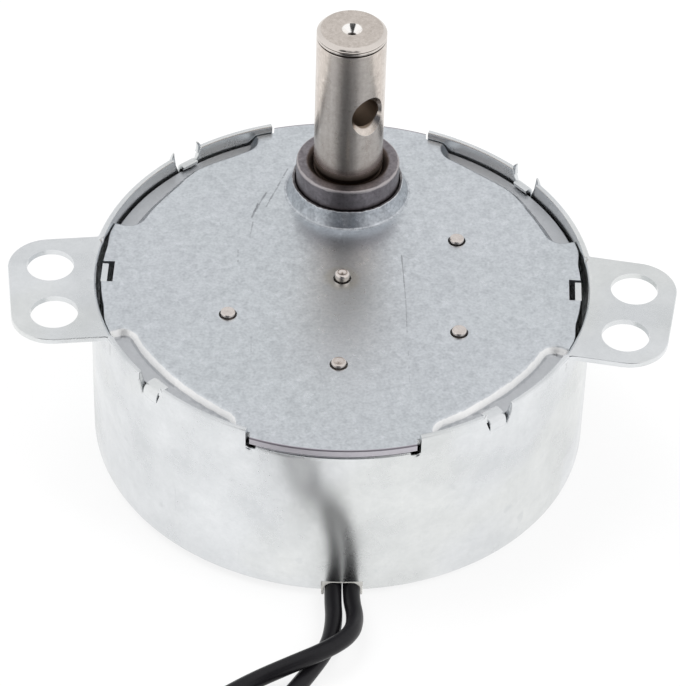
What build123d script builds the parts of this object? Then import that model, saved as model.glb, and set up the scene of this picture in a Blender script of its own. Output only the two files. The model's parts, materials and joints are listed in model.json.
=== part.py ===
from build123d import *
from build123d.topology import SkipClean
import os
from math import acos, asin, atan2, cos, degrees, hypot, pi, radians, sin, tan

# Geared synchronous motor, 50 mm can: a claw-pole rotor drives one slow output shaft through five gear pairs.
# The origin is on the can's axis in the plane of its flat bottom. +Z is up along the output shaft, +X runs
# through the two ears and -Y points to the side where the leads come out. All lengths are in millimetres.

# ---- can ----------------------------------------------------------------------------------------
can_radius = 25.0
can_height = 20.3
can_sheet = 0.6
bottom_bend = 1.5            # outer radius of the drawn bottom edge
ear_length = 8.0             # past the outside of the can
ear_half_width = 7.6
ear_corner = 4.0
ear_angle = 8.5              # each ear points this far to the front of the X axis
ear_root_bend = 0.9          # radius of the bend from the wall to the ear, on its upper face
ear_foot_fillet = 0.3        # the same bend, below the ear
ear_side_fillet = 1.1        # in plan, between the ear's side and the wall
bolt_holes_outside = 4.0     # the four ear holes' circle, past the outside of the can
bolt_half_angle = 7.05
bolt_hole_radius = 2.35

# ---- cover plate --------------------------------------------------------------------------------
wall_above_cover = 0.8
cover_sheet = 0.7
cover_edge_gap = 0.1         # to the inside of the can
tab_proud = 0.1              # front and rear tab, past the outside of the can
tab_half_width = 7.95
tab_side_gap = 0.5
relief_radius = 0.5
recess_depth = 0.8           # sunken crescents that the can is crimped over
recess_width = 2.4           # in from the cover's edge
recess_slope = 0.6
lip_edge_gap = 0.4           # sunken lip, in from the cover's edge
recess_spans = ((17.0, 66.5), (113.5, 163.0), (202.0, 247.5), (292.5, 338.0))
recess_web_degrees = 1.8
crimp_angles = (-136.0, -51.0, 42.0, 133.0)
crimp_half_width = 1.05
crimp_depth = 2.1
crimp_reach = 1.5            # how far the crimp lies in over the cover
crimp_side_gap = 0.65
tongue_half_width = 1.4
tongue_sheet = 0.65
tongue_below_cover = 0.15
tongue_offset = -0.35
tongue_edge_gap = 0.02       # between the tongue's outer face and the cover's edge
notch_clearance = 0.15
notch_depth = 1.25           # from the cover's edge inwards
collar_foot_radius = 6.2
collar_top_radius = 5.65
collar_height = 1.7
collar_fillet = 0.4

# ---- motor section ------------------------------------------------------------------------------
claws = 6                    # on each pole plate, so twice as many poles
claw_sheet = 0.7
claw_radius = 12.7           # inner face
claw_tip_gap = 2.0           # from a claw's tip to the other pole plate
claw_base_half_width = 2.4
claw_tip_half_width = 1.4
pole_plate_sheet = 0.7
plate_fit = 0.02             # plates against the can's inner wall
magnet_radius = 12.2
magnet_bore = 8.0
magnet_bottom = 1.5
magnet_top_gap = 0.5
hub_web_inset = 1.7          # hub web, in from each end of the magnet
sleeve_radius = 2.0
sleeve_hole_gap = 0.4
claw_window_gap = 0.01       # window edge outside the claw's inner face
bobbin_inner_radius = 13.7
bobbin_wall = 0.8
bobbin_side_gap = 1.2        # flange to the inside of the can
bobbin_rest_gap = 0.02
winding_below_flange = 1.6
tape_thickness = 0.25
layer_gap = 0.02             # between bobbin, winding and tape
bobbin_cut_clearance = 1.0   # behind the lead saddle

# ---- gear train ---------------------------------------------------------------------------------
gear_plate_sheet = 0.8
plate_gap = 0.02
fine_modules_across = 61.0   # the train fills the can: its inner radius counted in modules
coarse_modules_across = 48.8
rotor_pinion_teeth = 21
first_gear_teeth = 42
first_pinion_teeth = 15
second_gear_teeth = 50
second_pinion_teeth = 16
third_gear_teeth = 48
third_pinion_teeth = 16
fourth_gear_teeth = 40
fourth_pinion_teeth = 18
output_gear_teeth = 36
addendum = 0.85              # times the module
dedendum = 1.15
pressure_angle = 20.0
backlash = 0.07
first_axle_direction = -151.0
second_axle_direction = -31.1
third_axle_direction = 24.9
level_gap = 0.2              # between gears on neighbouring levels
top_level_gap = 0.3          # the same, below the topmost gears
face_one = 1.3               # gear widths, from the gear plate up
face_two = 1.2
face_three = 1.3
face_four = 1.2
face_output = 1.7
first_level_lift = 0.35      # lowest gear above the gear plate
last_level_drop = 0.43       # topmost gear below the cover
cluster_hub_radius = 1.6
end_play = 0.12
axle_radius = 0.73
axle_chamfer = 0.09
rotor_axle_round = 0.24
running_clearance = 0.05
pin_above_cover = 0.4
rotor_axle_above_cover = 0.8
pin_hole_clearance = 0.17
dimple_radius = 0.3

# ---- output shaft -------------------------------------------------------------------------------
shaft_offset = 13.9          # from the can's axis towards the back
shaft_radius = 3.5
shaft_above_can = 19.7
shaft_chamfer = 0.36
shaft_groove_below_top = 0.95
shaft_groove_width = 0.16
shaft_groove_depth = 0.2
shaft_relief_width = 0.6     # turned relief in the mouth of the bush, above the journal
shaft_relief_depth = 0.2
shaft_seam_above_bush = 5.0  # the shaft's side is two faces, which meet here below the cross hole
centre_radius = 1.0
centre_depth = 0.9
centre_drill_radius = 0.32
centre_drill_depth = 1.9
cross_hole_radius = 1.55
cross_hole_above_can = 11.0
cross_hole_direction = -54.0
journal_radius = 2.0
shoulder_gap = 0.05
bush_radius = 5.25
bush_above_can = 3.2
bush_mouth = 0.53
bush_outer_chamfer = 0.15
bush_length = 6.2
washer_radius = 5.0
washer_clearance = 0.05
foot_bush_radius = 2.7
foot_bush_length = 2.0

# ---- leads --------------------------------------------------------------------------------------
lead_radius = 0.85
floor_gap = 0.01
bend_share = 0.45            # share of the shorter run that a bend takes up
left_lead_x = 0.40
right_lead_x = 2.15
lead_channel_gap = 0.03
saddle_side = 0.3
saddle_height = 1.95
saddle_depth = 2.3           # in from the outside of the can
saddle_fit = 0.02
saddle_floor_gap = 0.1
joint_sleeve_radius = 0.8
joint_sleeve_depth = 2.05    # in from the outside of the can
joint_sleeve_top_gap = 2.2   # to the upper pole plate
coil_x = -14.5
coil_y = -56.6
coil_turn_radius = 9.35
coil_gap = 0.05
turns_high = 2
left_coil_entry = 90.0       # direction from the coil's middle
right_coil_entry = 135.0
left_coil_end = 32.0
right_coil_end = 22.0
tip_radius = 0.5
tip_length = 6.0
tie_thickness = 0.5
tie_width = 2.4
tie_gap = 0.08
tie_direction = -120.0

# ---- cutting --------------------------------------------------------------------------------------
beyond = 1.0                 # how far a cut reaches past what it cuts

# ---- worked out from the sizes above --------------------------------------------------------------
can_inner = can_radius - can_sheet
ear_reach = can_radius + ear_length
bolt_circle = can_radius + bolt_holes_outside
cover_top = can_height - wall_above_cover
cover_under = cover_top - cover_sheet
cover_radius = can_inner - cover_edge_gap
tab_radius = can_radius + tab_proud
recess_radius = cover_radius - recess_width
lip_radius = cover_radius - lip_edge_gap
lip_top = cover_top - recess_depth
lip_under = lip_top - cover_sheet
tongue_outer = cover_radius - tongue_edge_gap

level_four = cover_under - last_level_drop - face_four
level_three = level_four - top_level_gap - face_output
level_two = level_three - level_gap - face_two
level_one = level_two - level_gap - face_one
gear_plate_top = level_one - first_level_lift
gear_plate_bottom = gear_plate_top - gear_plate_sheet
pole_plate_top = gear_plate_bottom - plate_gap
pole_plate_bottom = pole_plate_top - pole_plate_sheet
cluster_bottom = gear_plate_top + end_play
cluster_top = cover_under - end_play
claw_length = pole_plate_bottom - claw_tip_gap
magnet_top = pole_plate_bottom - magnet_top_gap
bobbin_flange_radius = can_inner - bobbin_side_gap
winding_radius = bobbin_flange_radius - winding_below_flange

axle_bore = axle_radius + running_clearance
shaft_top = can_height + shaft_above_can
bush_top = can_height + bush_above_can
bush_bottom = bush_top - bush_length
saddle_inner_y = saddle_depth - can_radius
bobbin_cut_y = saddle_inner_y + bobbin_cut_clearance
joint_sleeve_y = joint_sleeve_depth - can_radius
joint_sleeve_top = pole_plate_bottom - joint_sleeve_top_gap
lead_z = lead_radius + floor_gap
leads_middle = (left_lead_x + right_lead_x) / 2
saddle_half = (right_lead_x - left_lead_x) / 2 + lead_radius + saddle_side
coil_at = (coil_x, coil_y)
coil_height = 2 * lead_radius * turns_high
right_coil_low = floor_gap + coil_height + coil_gap
right_coil_z = right_coil_low + lead_radius

fine_module = can_inner / fine_modules_across
coarse_module = can_inner / coarse_modules_across
first_distance = fine_module * (rotor_pinion_teeth + first_gear_teeth) / 2
second_distance = fine_module * (first_pinion_teeth + second_gear_teeth) / 2
third_distance = fine_module * (second_pinion_teeth + third_gear_teeth) / 2
fourth_distance = coarse_module * (third_pinion_teeth + fourth_gear_teeth) / 2
output_distance = coarse_module * (fourth_pinion_teeth + output_gear_teeth) / 2


def step(start, length, direction):
    """The point that lies length away from start, in a direction in degrees."""
    return (start[0] + length * cos(radians(direction)), start[1] + length * sin(radians(direction)))


def heading(start, end):
    """Direction from start to end, in degrees."""
    return degrees(atan2(end[1] - start[1], end[0] - start[0]))


rotor_at = (0.0, 0.0)
output_at = (0.0, shaft_offset)
first_at = step(rotor_at, first_distance, first_axle_direction)
second_at = step(first_at, second_distance, second_axle_direction)
third_at = step(second_at, third_distance, third_axle_direction)
third_to_output = hypot(output_at[0] - third_at[0], output_at[1] - third_at[1])
elbow = degrees(acos((fourth_distance**2 + third_to_output**2 - output_distance**2)
                     / (2 * fourth_distance * third_to_output)))
fourth_at = step(third_at, fourth_distance, heading(third_at, output_at) - elbow)


# ---- shared shapes --------------------------------------------------------------------------------
standing = (Align.CENTER, Align.CENTER, Align.MIN)


def disc(radius, low, high, at=(0.0, 0.0)):
    """Upright cylinder between two heights."""
    return Pos(at[0], at[1], low) * Cylinder(radius, high - low, align=standing)


def block(x0, x1, y0, y1, z0, z1):
    """Box between two corners."""
    return Pos(x0, y0, z0) * Box(x1 - x0, y1 - y0, z1 - z0, align=(Align.MIN, Align.MIN, Align.MIN))


def turned(outline, start, sweep):
    """Turn a closed outline of (radius, height) points about the Z axis through part of a circle."""
    face = Plane.XZ * make_face(Polyline(*outline, close=True))
    return Rot(0, 0, start) * revolve(face, Axis.Z, sweep)


def extruded_wall(outline, near, far):
    """Outline of (across, height) points, carried outwards along +X between two radii."""
    face = Plane.YZ.offset(near) * make_face(Polyline(*outline, close=True))
    return extrude(face, far - near)


def involute(angle):
    return tan(angle) - angle


def gear_outline(teeth, module, tooth_at):
    """Closed wire of a spur gear with the middle of one tooth in the direction tooth_at, in degrees."""
    pitch_radius = module * teeth / 2
    base_radius = pitch_radius * cos(radians(pressure_angle))
    root_radius = pitch_radius - dedendum * module
    tip_radius = pitch_radius + addendum * module
    at_pitch = pi / (2 * teeth) - backlash / (2 * pitch_radius)

    def half_tooth(radius):
        slope = acos(min(1.0, base_radius / max(radius, base_radius)))
        return at_pitch + involute(radians(pressure_angle)) - involute(slope)

    def point(radius, angle):
        return (radius * cos(angle), radius * sin(angle))

    edges = []
    pitch = 2 * pi / teeth
    for tooth in range(teeth):
        middle = radians(tooth_at) + tooth * pitch
        root, flank, tip = half_tooth(root_radius), half_tooth(pitch_radius), half_tooth(tip_radius)
        edges.append(ThreePointArc(point(root_radius, middle - root), point(pitch_radius, middle - flank),
                                   point(tip_radius, middle - tip)))
        edges.append(ThreePointArc(point(tip_radius, middle - tip), point(tip_radius, middle),
                                   point(tip_radius, middle + tip)))
        edges.append(ThreePointArc(point(tip_radius, middle + tip), point(pitch_radius, middle + flank),
                                   point(root_radius, middle + root)))
        edges.append(ThreePointArc(point(root_radius, middle + root), point(root_radius, middle + pitch / 2),
                                   point(root_radius, middle + pitch - root)))
    return Wire(edges)


def gear(teeth, module, tooth_at, low, high, at, bore):
    """Spur gear with a plain bore, between two heights."""
    body = extrude(make_face(gear_outline(teeth, module, tooth_at)), high - low)
    return Pos(at[0], at[1], low) * body - disc(bore, low - beyond, high + beyond, at)


def meshed(pinion_teeth, pinion_tooth_at, gear_teeth, pinion_at, gear_at):
    """Tooth direction of a gear whose space faces the pinion's tooth on the line of centres."""
    line = heading(pinion_at, gear_at)
    return line + 180 + (180 - pinion_teeth * (pinion_tooth_at - line)) / gear_teeth


# ---- can --------------------------------------------------------------------------------------------
def drawn_cup():
    outer = disc(can_radius, 0, can_height)
    outer = fillet(outer.edges().group_by(Axis.Z)[0], bottom_bend)
    inner = disc(can_inner, can_sheet, can_height + beyond)
    inner = fillet(inner.edges().group_by(Axis.Z)[0], bottom_bend - can_sheet)
    return outer - inner


def ear():
    """One ear pointing along +X, with rounded ends and a fillet on each side where it meets the wall."""
    low = can_height - can_sheet
    plan = Circle(can_radius) + Pos(ear_reach / 2, 0) * Rectangle(ear_reach, 2 * ear_half_width)
    plan = fillet(plan.vertices().group_by(Axis.X)[-1], ear_corner)
    roots = plan.vertices().filter_by(lambda v: abs(hypot(v.X, v.Y) - can_radius) < can_sheet / 2)
    plan = fillet(roots.filter_by(lambda v: v.X > 0), ear_side_fillet)
    plate = Pos(0, 0, low) * extrude(plan, can_sheet)
    plate -= disc(can_radius - can_sheet / 2, low - beyond, can_height + beyond)
    for side in (-1, 1):
        at = step((0, 0), bolt_circle, side * bolt_half_angle)
        plate -= disc(bolt_hole_radius, low - beyond, can_height + beyond, at)
    return plate


def ear_bend_cut():
    """What the rolled bend takes off the square inner corner between wall and ear."""
    centre_r, centre_z = can_inner + ear_root_bend, can_height - ear_root_bend
    half = degrees(asin(ear_half_width / can_radius))
    corner = Plane.XZ * (Pos(centre_r - ear_root_bend / 2, centre_z + ear_root_bend / 2)
                         * Rectangle(ear_root_bend, ear_root_bend)
                         - Pos(centre_r, centre_z) * Circle(ear_root_bend))
    return Rot(0, 0, -half) * revolve(corner, Axis.Z, 2 * half)


def ear_foot():
    """Small fillet under the ear, against the outside of the wall."""
    centre_r = can_radius + ear_foot_fillet
    centre_z = can_height - can_sheet - ear_foot_fillet
    half = degrees(asin((ear_half_width - ear_foot_fillet) / can_radius))
    corner = Plane.XZ * (Pos(centre_r - ear_foot_fillet / 2, centre_z + ear_foot_fillet / 2)
                         * Rectangle(ear_foot_fillet, ear_foot_fillet)
                         - Pos(centre_r, centre_z) * Circle(ear_foot_fillet))
    return Rot(0, 0, -half) * revolve(corner, Axis.Z, 2 * half)


def crimp():
    """Tab of the wall bent in over the cover, pointing from +X to the axis."""
    low, high = can_height - crimp_depth, lip_top + can_sheet
    end = can_inner - crimp_reach
    outline = [(can_inner, low), (can_radius, low), (can_radius, high),
               (end, high), (end, lip_top), (can_inner, lip_top)]
    face = Plane.XZ * make_face(Polyline(*outline, close=True))
    tab = Pos(0, crimp_half_width, 0) * extrude(face, 2 * crimp_half_width)
    return fillet(tab.edges().filter_by(Axis.Y).group_by(Axis.Z)[-1].sort_by(Axis.X)[-1], can_sheet)


def crimp_notch():
    """Opening cut in the wall round a crimp, wider at the top."""
    low = can_height - crimp_depth
    wide = crimp_half_width + crimp_side_gap
    high = can_height + beyond
    outline = [(-crimp_half_width, low), (crimp_half_width, low), (wide, high), (-wide, high)]
    return extruded_wall(outline, can_inner - beyond, can_radius + beyond)


def claw(base_z, direction, sheet):
    """Tapered pole claw of one plate, standing on base_z and pointing up or down."""
    tip_z = base_z + direction * claw_length
    outline = [(-claw_base_half_width, base_z), (claw_base_half_width, base_z),
               (claw_tip_half_width, tip_z), (-claw_tip_half_width, tip_z)]
    return extruded_wall(outline, claw_radius, claw_radius + sheet)


def claw_window(low, high):
    """Opening that a claw leaves in its plate, between two heights."""
    outer = claw_radius + claw_window_gap
    inner = claw_radius - claw_length
    outline = [(outer, -claw_base_half_width), (outer, claw_base_half_width),
               (inner, claw_tip_half_width), (inner, -claw_tip_half_width)]
    return Pos(0, 0, low) * extrude(make_face(Polyline(*outline, close=True)), high - low)


def make_case():
    case = drawn_cup()
    for side in (-1, 1):
        turn = -ear_angle if side > 0 else 180 + ear_angle
        case += Rot(0, 0, turn) * (ear() + ear_foot())
        case -= Rot(0, 0, turn) * ear_bend_cut()
    notch_half = tab_half_width + tab_side_gap
    for side in (-1, 1):
        y0, y1 = sorted((side * can_radius / 2, side * (can_radius + beyond)))
        case -= block(-notch_half, notch_half, y0, y1, cover_under, can_height + beyond)
        for x in (-notch_half + relief_radius, notch_half - relief_radius):
            case -= Pos(x, (y0 + y1) / 2, cover_under) * Rot(90, 0, 0) * Cylinder(relief_radius, y1 - y0)
    for angle in crimp_angles:
        case -= Rot(0, 0, angle) * crimp_notch()
        case += Rot(0, 0, angle) * crimp()
    for index in range(claws):
        turn = Rot(0, 0, 360 / claws * index)
        case -= turn * claw_window(-beyond, can_sheet + beyond)
        case += turn * claw(0, 1, claw_sheet)
    case -= disc(axle_radius, -beyond, can_sheet + beyond)
    return case - saddle_opening()


# ---- cover ------------------------------------------------------------------------------------------
def crescent(start, end):
    """Sunken lip between two directions, with the sloped step and the end webs."""
    outline = [(recess_radius, cover_top), (recess_radius + recess_slope, lip_top), (lip_radius, lip_top),
               (lip_radius, lip_under), (recess_radius + recess_slope - cover_sheet, lip_under),
               (recess_radius - cover_sheet, cover_under)]
    lip = turned(outline, start, end - start)
    web = [(recess_radius - cover_sheet, lip_under), (cover_radius, lip_under),
           (cover_radius, cover_top), (recess_radius - cover_sheet, cover_top)]
    for direction in (start - recess_web_degrees, end):
        lip += turned(web, direction, recess_web_degrees)
    return lip


def make_cover_plate():
    plate = disc(cover_radius, cover_under, cover_top)
    tabs = block(-tab_half_width, tab_half_width, -tab_radius, tab_radius, cover_under, cover_top)
    plate += tabs & disc(tab_radius, cover_under, cover_top)
    for start, end in recess_spans:
        outline = [(recess_radius, cover_under - beyond), (tab_radius + beyond, cover_under - beyond),
                   (tab_radius + beyond, cover_top + beyond), (recess_radius, cover_top + beyond)]
        plate -= turned(outline, start, end - start)
        plate += crescent(start, end)
    collar = Cone(collar_foot_radius, collar_top_radius, collar_height, align=standing)
    plate += Pos(0, shaft_offset, cover_top) * collar
    foot = plate.edges().filter_by(GeomType.CIRCLE).filter_by(
        lambda e: abs(e.radius - collar_foot_radius) < 0.01 and abs(e.center().Z - cover_top) < 0.01)
    plate = fillet(foot, collar_fillet)
    plate -= disc(bush_radius, cover_under - beyond, bush_top + beyond, output_at)
    for side in (-1, 1):
        x0, x1 = sorted((side * (cover_radius - notch_depth), side * (cover_radius + beyond)))
        y0 = tongue_offset - tongue_half_width - notch_clearance
        y1 = tongue_offset + tongue_half_width + notch_clearance
        plate -= block(x0, x1, y0, y1, lip_under - beyond, cover_top + beyond)
    for at in (rotor_at, first_at, second_at, third_at, fourth_at):
        plate -= disc(axle_radius + pin_hole_clearance, cover_under - beyond, cover_top + beyond, at)
    return plate


def make_gear_plate():
    plate = disc(can_inner - plate_fit, gear_plate_bottom, gear_plate_top)
    for side in (-1, 1):
        x0, x1 = sorted((side * (tongue_outer - tongue_sheet), side * tongue_outer))
        plate += block(x0, x1, tongue_offset - tongue_half_width, tongue_offset + tongue_half_width,
                       gear_plate_bottom, cover_top - tongue_below_cover)
    holes = [(sleeve_radius + sleeve_hole_gap, rotor_at), (foot_bush_radius, output_at)]
    holes += [(axle_radius, at) for at in (first_at, second_at, third_at, fourth_at)]
    for radius, at in holes:
        plate -= disc(radius, gear_plate_bottom - beyond, gear_plate_top + beyond, at)
    return plate


# ---- motor ------------------------------------------------------------------------------------------
def make_upper_pole_plate():
    plate = disc(can_inner - plate_fit, pole_plate_bottom, pole_plate_top)
    plate -= disc(sleeve_radius + sleeve_hole_gap, pole_plate_bottom - beyond, pole_plate_top + beyond)
    for index in range(claws):
        turn = Rot(0, 0, 360 / claws * (index + 0.5))
        plate -= turn * claw_window(pole_plate_bottom - beyond, pole_plate_top + beyond)
        plate += turn * claw(pole_plate_top, -1, claw_sheet)
    return plate


def make_coil_bobbin():
    low = can_sheet + bobbin_rest_gap
    high = pole_plate_bottom - bobbin_rest_gap
    spool = disc(bobbin_inner_radius + bobbin_wall, low, high)
    spool += disc(bobbin_flange_radius, low, low + bobbin_wall)
    spool += disc(bobbin_flange_radius, high - bobbin_wall, high)
    spool -= disc(bobbin_inner_radius, low - beyond, high + beyond)
    half = saddle_half + 2 * saddle_fit
    return spool - block(leads_middle - half, leads_middle + half, -can_radius, bobbin_cut_y,
                         low - beyond, low + bobbin_wall + beyond)


def winding_ring(inner, outer):
    low = can_sheet + bobbin_rest_gap + bobbin_wall + layer_gap
    high = pole_plate_bottom - bobbin_rest_gap - bobbin_wall - layer_gap
    return disc(outer, low, high) - disc(inner, low - beyond, high + beyond)


def make_rotor_magnet():
    bore = disc(magnet_bore, magnet_bottom - beyond, magnet_top + beyond)
    return disc(magnet_radius, magnet_bottom, magnet_top) - bore


def make_rotor_hub():
    hub = disc(magnet_bore, magnet_bottom + hub_web_inset, magnet_top - hub_web_inset)
    hub += disc(sleeve_radius, can_sheet + end_play, cluster_top)
    high = level_four + face_four
    hub += gear(rotor_pinion_teeth, fine_module, rotor_tooth_at, level_four, high, rotor_at, axle_bore)
    return hub - disc(axle_bore, 0, can_height)


def make_rotor_axle():
    top = cover_top + rotor_axle_above_cover
    axle = disc(axle_radius, 0, top)
    axle = fillet(axle.edges().group_by(Axis.Z)[-1], rotor_axle_round)
    return axle - Pos(0, 0, top) * Sphere(dimple_radius)


def make_gear_axle(at):
    axle = disc(axle_radius, gear_plate_bottom, cover_top + pin_above_cover, at)
    return chamfer(axle.edges().group_by(Axis.Z)[-1], axle_chamfer)


# ---- gears ------------------------------------------------------------------------------------------
rotor_tooth_at = 0.0
first_tooth_at = meshed(rotor_pinion_teeth, rotor_tooth_at, first_gear_teeth, rotor_at, first_at)
first_pinion_tooth_at = first_tooth_at
second_tooth_at = meshed(first_pinion_teeth, first_pinion_tooth_at, second_gear_teeth, first_at, second_at)
second_pinion_tooth_at = second_tooth_at
third_tooth_at = meshed(second_pinion_teeth, second_pinion_tooth_at, third_gear_teeth, second_at, third_at)
third_pinion_tooth_at = third_tooth_at
fourth_tooth_at = meshed(third_pinion_teeth, third_pinion_tooth_at, fourth_gear_teeth, third_at, fourth_at)
fourth_pinion_tooth_at = fourth_tooth_at
output_tooth_at = meshed(fourth_pinion_teeth, fourth_pinion_tooth_at, output_gear_teeth, fourth_at, output_at)


def hub(at, low, high):
    """Plain hub of a gear cluster, running on its axle."""
    return disc(cluster_hub_radius, low, high, at) - disc(axle_bore, low - beyond, high + beyond, at)


def make_first_gear():
    cluster = gear(first_gear_teeth, fine_module, first_tooth_at,
                   level_four, level_four + face_four, first_at, axle_bore)
    cluster += gear(first_pinion_teeth, fine_module, first_pinion_tooth_at,
                    level_three, level_four, first_at, axle_bore)
    return cluster + hub(first_at, cluster_bottom, cluster_top)


def make_second_gear():
    cluster = gear(second_gear_teeth, fine_module, second_tooth_at,
                   level_three, level_three + face_three, second_at, axle_bore)
    cluster += gear(second_pinion_teeth, fine_module, second_pinion_tooth_at,
                    level_two, level_three, second_at, axle_bore)
    return cluster + hub(second_at, cluster_bottom, cluster_top)


def make_third_gear():
    return gear(third_gear_teeth, fine_module, third_tooth_at,
                level_two, level_two + face_two, third_at, cluster_hub_radius)


def make_third_pinion():
    pinion = gear(third_pinion_teeth, coarse_module, third_pinion_tooth_at,
                  level_one, level_two, third_at, axle_bore)
    return pinion + hub(third_at, cluster_bottom, cluster_top)


def make_fourth_gear():
    return gear(fourth_gear_teeth, coarse_module, fourth_tooth_at,
                level_one, level_one + face_one, fourth_at, cluster_hub_radius)


def make_fourth_pinion():
    pinion = gear(fourth_pinion_teeth, coarse_module, fourth_pinion_tooth_at,
                  level_three, level_three + face_output, fourth_at, axle_bore)
    return pinion + hub(fourth_at, cluster_bottom, cluster_top)


def make_output_gear():
    return gear(output_gear_teeth, coarse_module, output_tooth_at,
                level_three, level_three + face_output, output_at, shaft_radius)


# ---- output shaft -----------------------------------------------------------------------------------
def make_output_shaft():
    shoulder = level_three - shoulder_gap
    shaft = disc(shaft_radius, shoulder, shaft_top, output_at)
    shaft = chamfer(shaft.edges().group_by(Axis.Z)[-1], shaft_chamfer)
    shaft += disc(journal_radius, gear_plate_bottom, shoulder, output_at)
    groove_low = shaft_top - shaft_groove_below_top
    for low, high, depth in ((groove_low, groove_low + shaft_groove_width, shaft_groove_depth),
                             (bush_top - shaft_relief_width, bush_top, shaft_relief_depth)):
        shaft -= (disc(shaft_radius + beyond, low, high, output_at)
                  - disc(shaft_radius - depth, low - beyond, high + beyond, output_at))
    at_top = Pos(output_at[0], output_at[1], shaft_top - centre_depth)
    shaft -= at_top * Cone(centre_drill_radius, centre_radius, centre_depth, align=standing)
    shaft -= disc(centre_drill_radius, shaft_top - centre_drill_depth, shaft_top, output_at)
    across = Rot(0, 0, cross_hole_direction) * Rot(0, 90, 0) * Cylinder(cross_hole_radius, 4 * shaft_radius)
    shaft -= Pos(output_at[0], output_at[1], can_height + cross_hole_above_can) * across
    seam = Plane.XY.offset(bush_top + shaft_seam_above_bush)
    with SkipClean():
        return split(shaft, bisect_by=seam, keep=Keep.TOP) + split(shaft, bisect_by=seam, keep=Keep.BOTTOM)


def make_output_bush():
    bush = disc(bush_radius, bush_bottom, bush_top, output_at)
    bush = chamfer(bush.edges().group_by(Axis.Z)[-1], bush_outer_chamfer)
    bush -= disc(shaft_radius + running_clearance, bush_bottom - beyond, bush_top + beyond, output_at)
    mouth = bush.edges().group_by(Axis.Z)[-1].sort_by(SortBy.RADIUS)[0]
    return chamfer(mouth, bush_mouth)


def make_shaft_foot_bush():
    high = gear_plate_bottom + foot_bush_length
    return (disc(foot_bush_radius, gear_plate_bottom, high, output_at)
            - disc(journal_radius + running_clearance, gear_plate_bottom - beyond, high + beyond, output_at))


def make_thrust_washer():
    low = level_three + face_output + washer_clearance
    high = bush_bottom - washer_clearance
    return (disc(washer_radius, low, high, output_at)
            - disc(shaft_radius + running_clearance, low - beyond, high + beyond, output_at))


# ---- leads ------------------------------------------------------------------------------------------
def saddle_opening():
    """Notch in the lower edge of the can that the lead saddle fills."""
    half = saddle_half + saddle_fit
    return block(leads_middle - half, leads_middle + half, -can_radius - beyond, saddle_inner_y + saddle_fit,
                 -beyond, saddle_height)


def lead_tunnel():
    """Room for both leads side by side, open to the floor."""
    radius = lead_radius + lead_channel_gap
    length = 2 * can_radius
    tunnel = block(left_lead_x - radius, right_lead_x + radius, -length, 0, -beyond, lead_z)
    tunnel += block(left_lead_x, right_lead_x, -length, 0, -beyond, lead_z + radius)
    for x in (left_lead_x, right_lead_x):
        tunnel += Pos(x, -can_radius, lead_z) * Rot(90, 0, 0) * Cylinder(radius, length)
    return tunnel


def make_lead_saddle():
    body = block(leads_middle - saddle_half, leads_middle + saddle_half, -can_radius, saddle_inner_y,
                 saddle_floor_gap, saddle_height - saddle_fit)
    return (body & disc(can_radius, 0, can_height)) - lead_tunnel()


def make_joint_sleeves():
    pair = [disc(joint_sleeve_radius, saddle_height, joint_sleeve_top, (x, joint_sleeve_y))
            for x in (left_lead_x, right_lead_x)]
    return Compound(children=pair)


left_route = [
    (left_lead_x, saddle_inner_y, lead_z),
    (left_lead_x, -25.9, lead_z),
    (0.72, -29.2, lead_z),
    (0.30, -32.6, lead_z),
    (-1.20, -35.8, lead_z),
    (-3.20, -39.4, lead_z),
    (-6.00, -43.4, lead_z),
    (-9.90, -46.4, lead_z),
    (*step(coil_at, coil_turn_radius, left_coil_entry), lead_z),
]
right_route = [
    (right_lead_x, saddle_inner_y, lead_z),
    (right_lead_x, -25.9, lead_z),
    (2.80, -29.1, 1.20),
    (2.38, -32.5, 2.40),
    (0.15, -35.1, 2.95),
    (-3.30, -36.7, 2.35),
    (-6.90, -37.9, 1.10),
    (-10.30, -40.6, 0.95),
    (-13.60, -43.6, 2.50),
    (-17.60, -45.9, 4.90),
    (*step(coil_at, coil_turn_radius, right_coil_entry), right_coil_z),
]


def corner_radii(route):
    """Largest neat radius at each corner: a share of the shorter run over the tangent of half the turn."""
    radii = []
    for before, here, after in zip(route, route[1:], route[2:]):
        into = Vector(*here) - Vector(*before)
        out = Vector(*after) - Vector(*here)
        half_turn = radians(into.get_angle(out)) / 2
        radii.append(bend_share * min(into.length, out.length) / tan(half_turn))
    return radii


def lead_tube(name, route):
    """Round lead along a route of straight runs and tangent arcs."""
    radii = corner_radii(route)
    path = FilletPolyline(*route, radius=radii)
    start = Plane(origin=route[0], z_dir=(Vector(*route[1]) - Vector(*route[0])))
    tube = sweep(start * Circle(lead_radius), path=path)
    share = tube.volume / (pi * lead_radius**2 * path.length)
    print(name, "length %.1f, volume over section times length %.4f" % (path.length, share))
    print("    bend radii", ["%.1f" % radius for radius in radii])
    return tube


def coil_ring(low):
    """Outer shape of the wound-up part of a lead."""
    inner, outer = coil_turn_radius - lead_radius, coil_turn_radius + lead_radius
    high = low + coil_height
    return disc(outer, low, high, coil_at) - disc(inner, low - beyond, high + beyond, coil_at)


def lead_tip(direction, coil_low):
    """Bare tinned end that leaves the upper turn of a coil along its tangent, anticlockwise."""
    x, y = step(coil_at, coil_turn_radius, direction)
    along = (-sin(radians(direction)), cos(radians(direction)), 0)
    plane = Plane(origin=(x, y, coil_low + coil_height - lead_radius), z_dir=along)
    return extrude(plane * Circle(tip_radius), tip_length)


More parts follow.
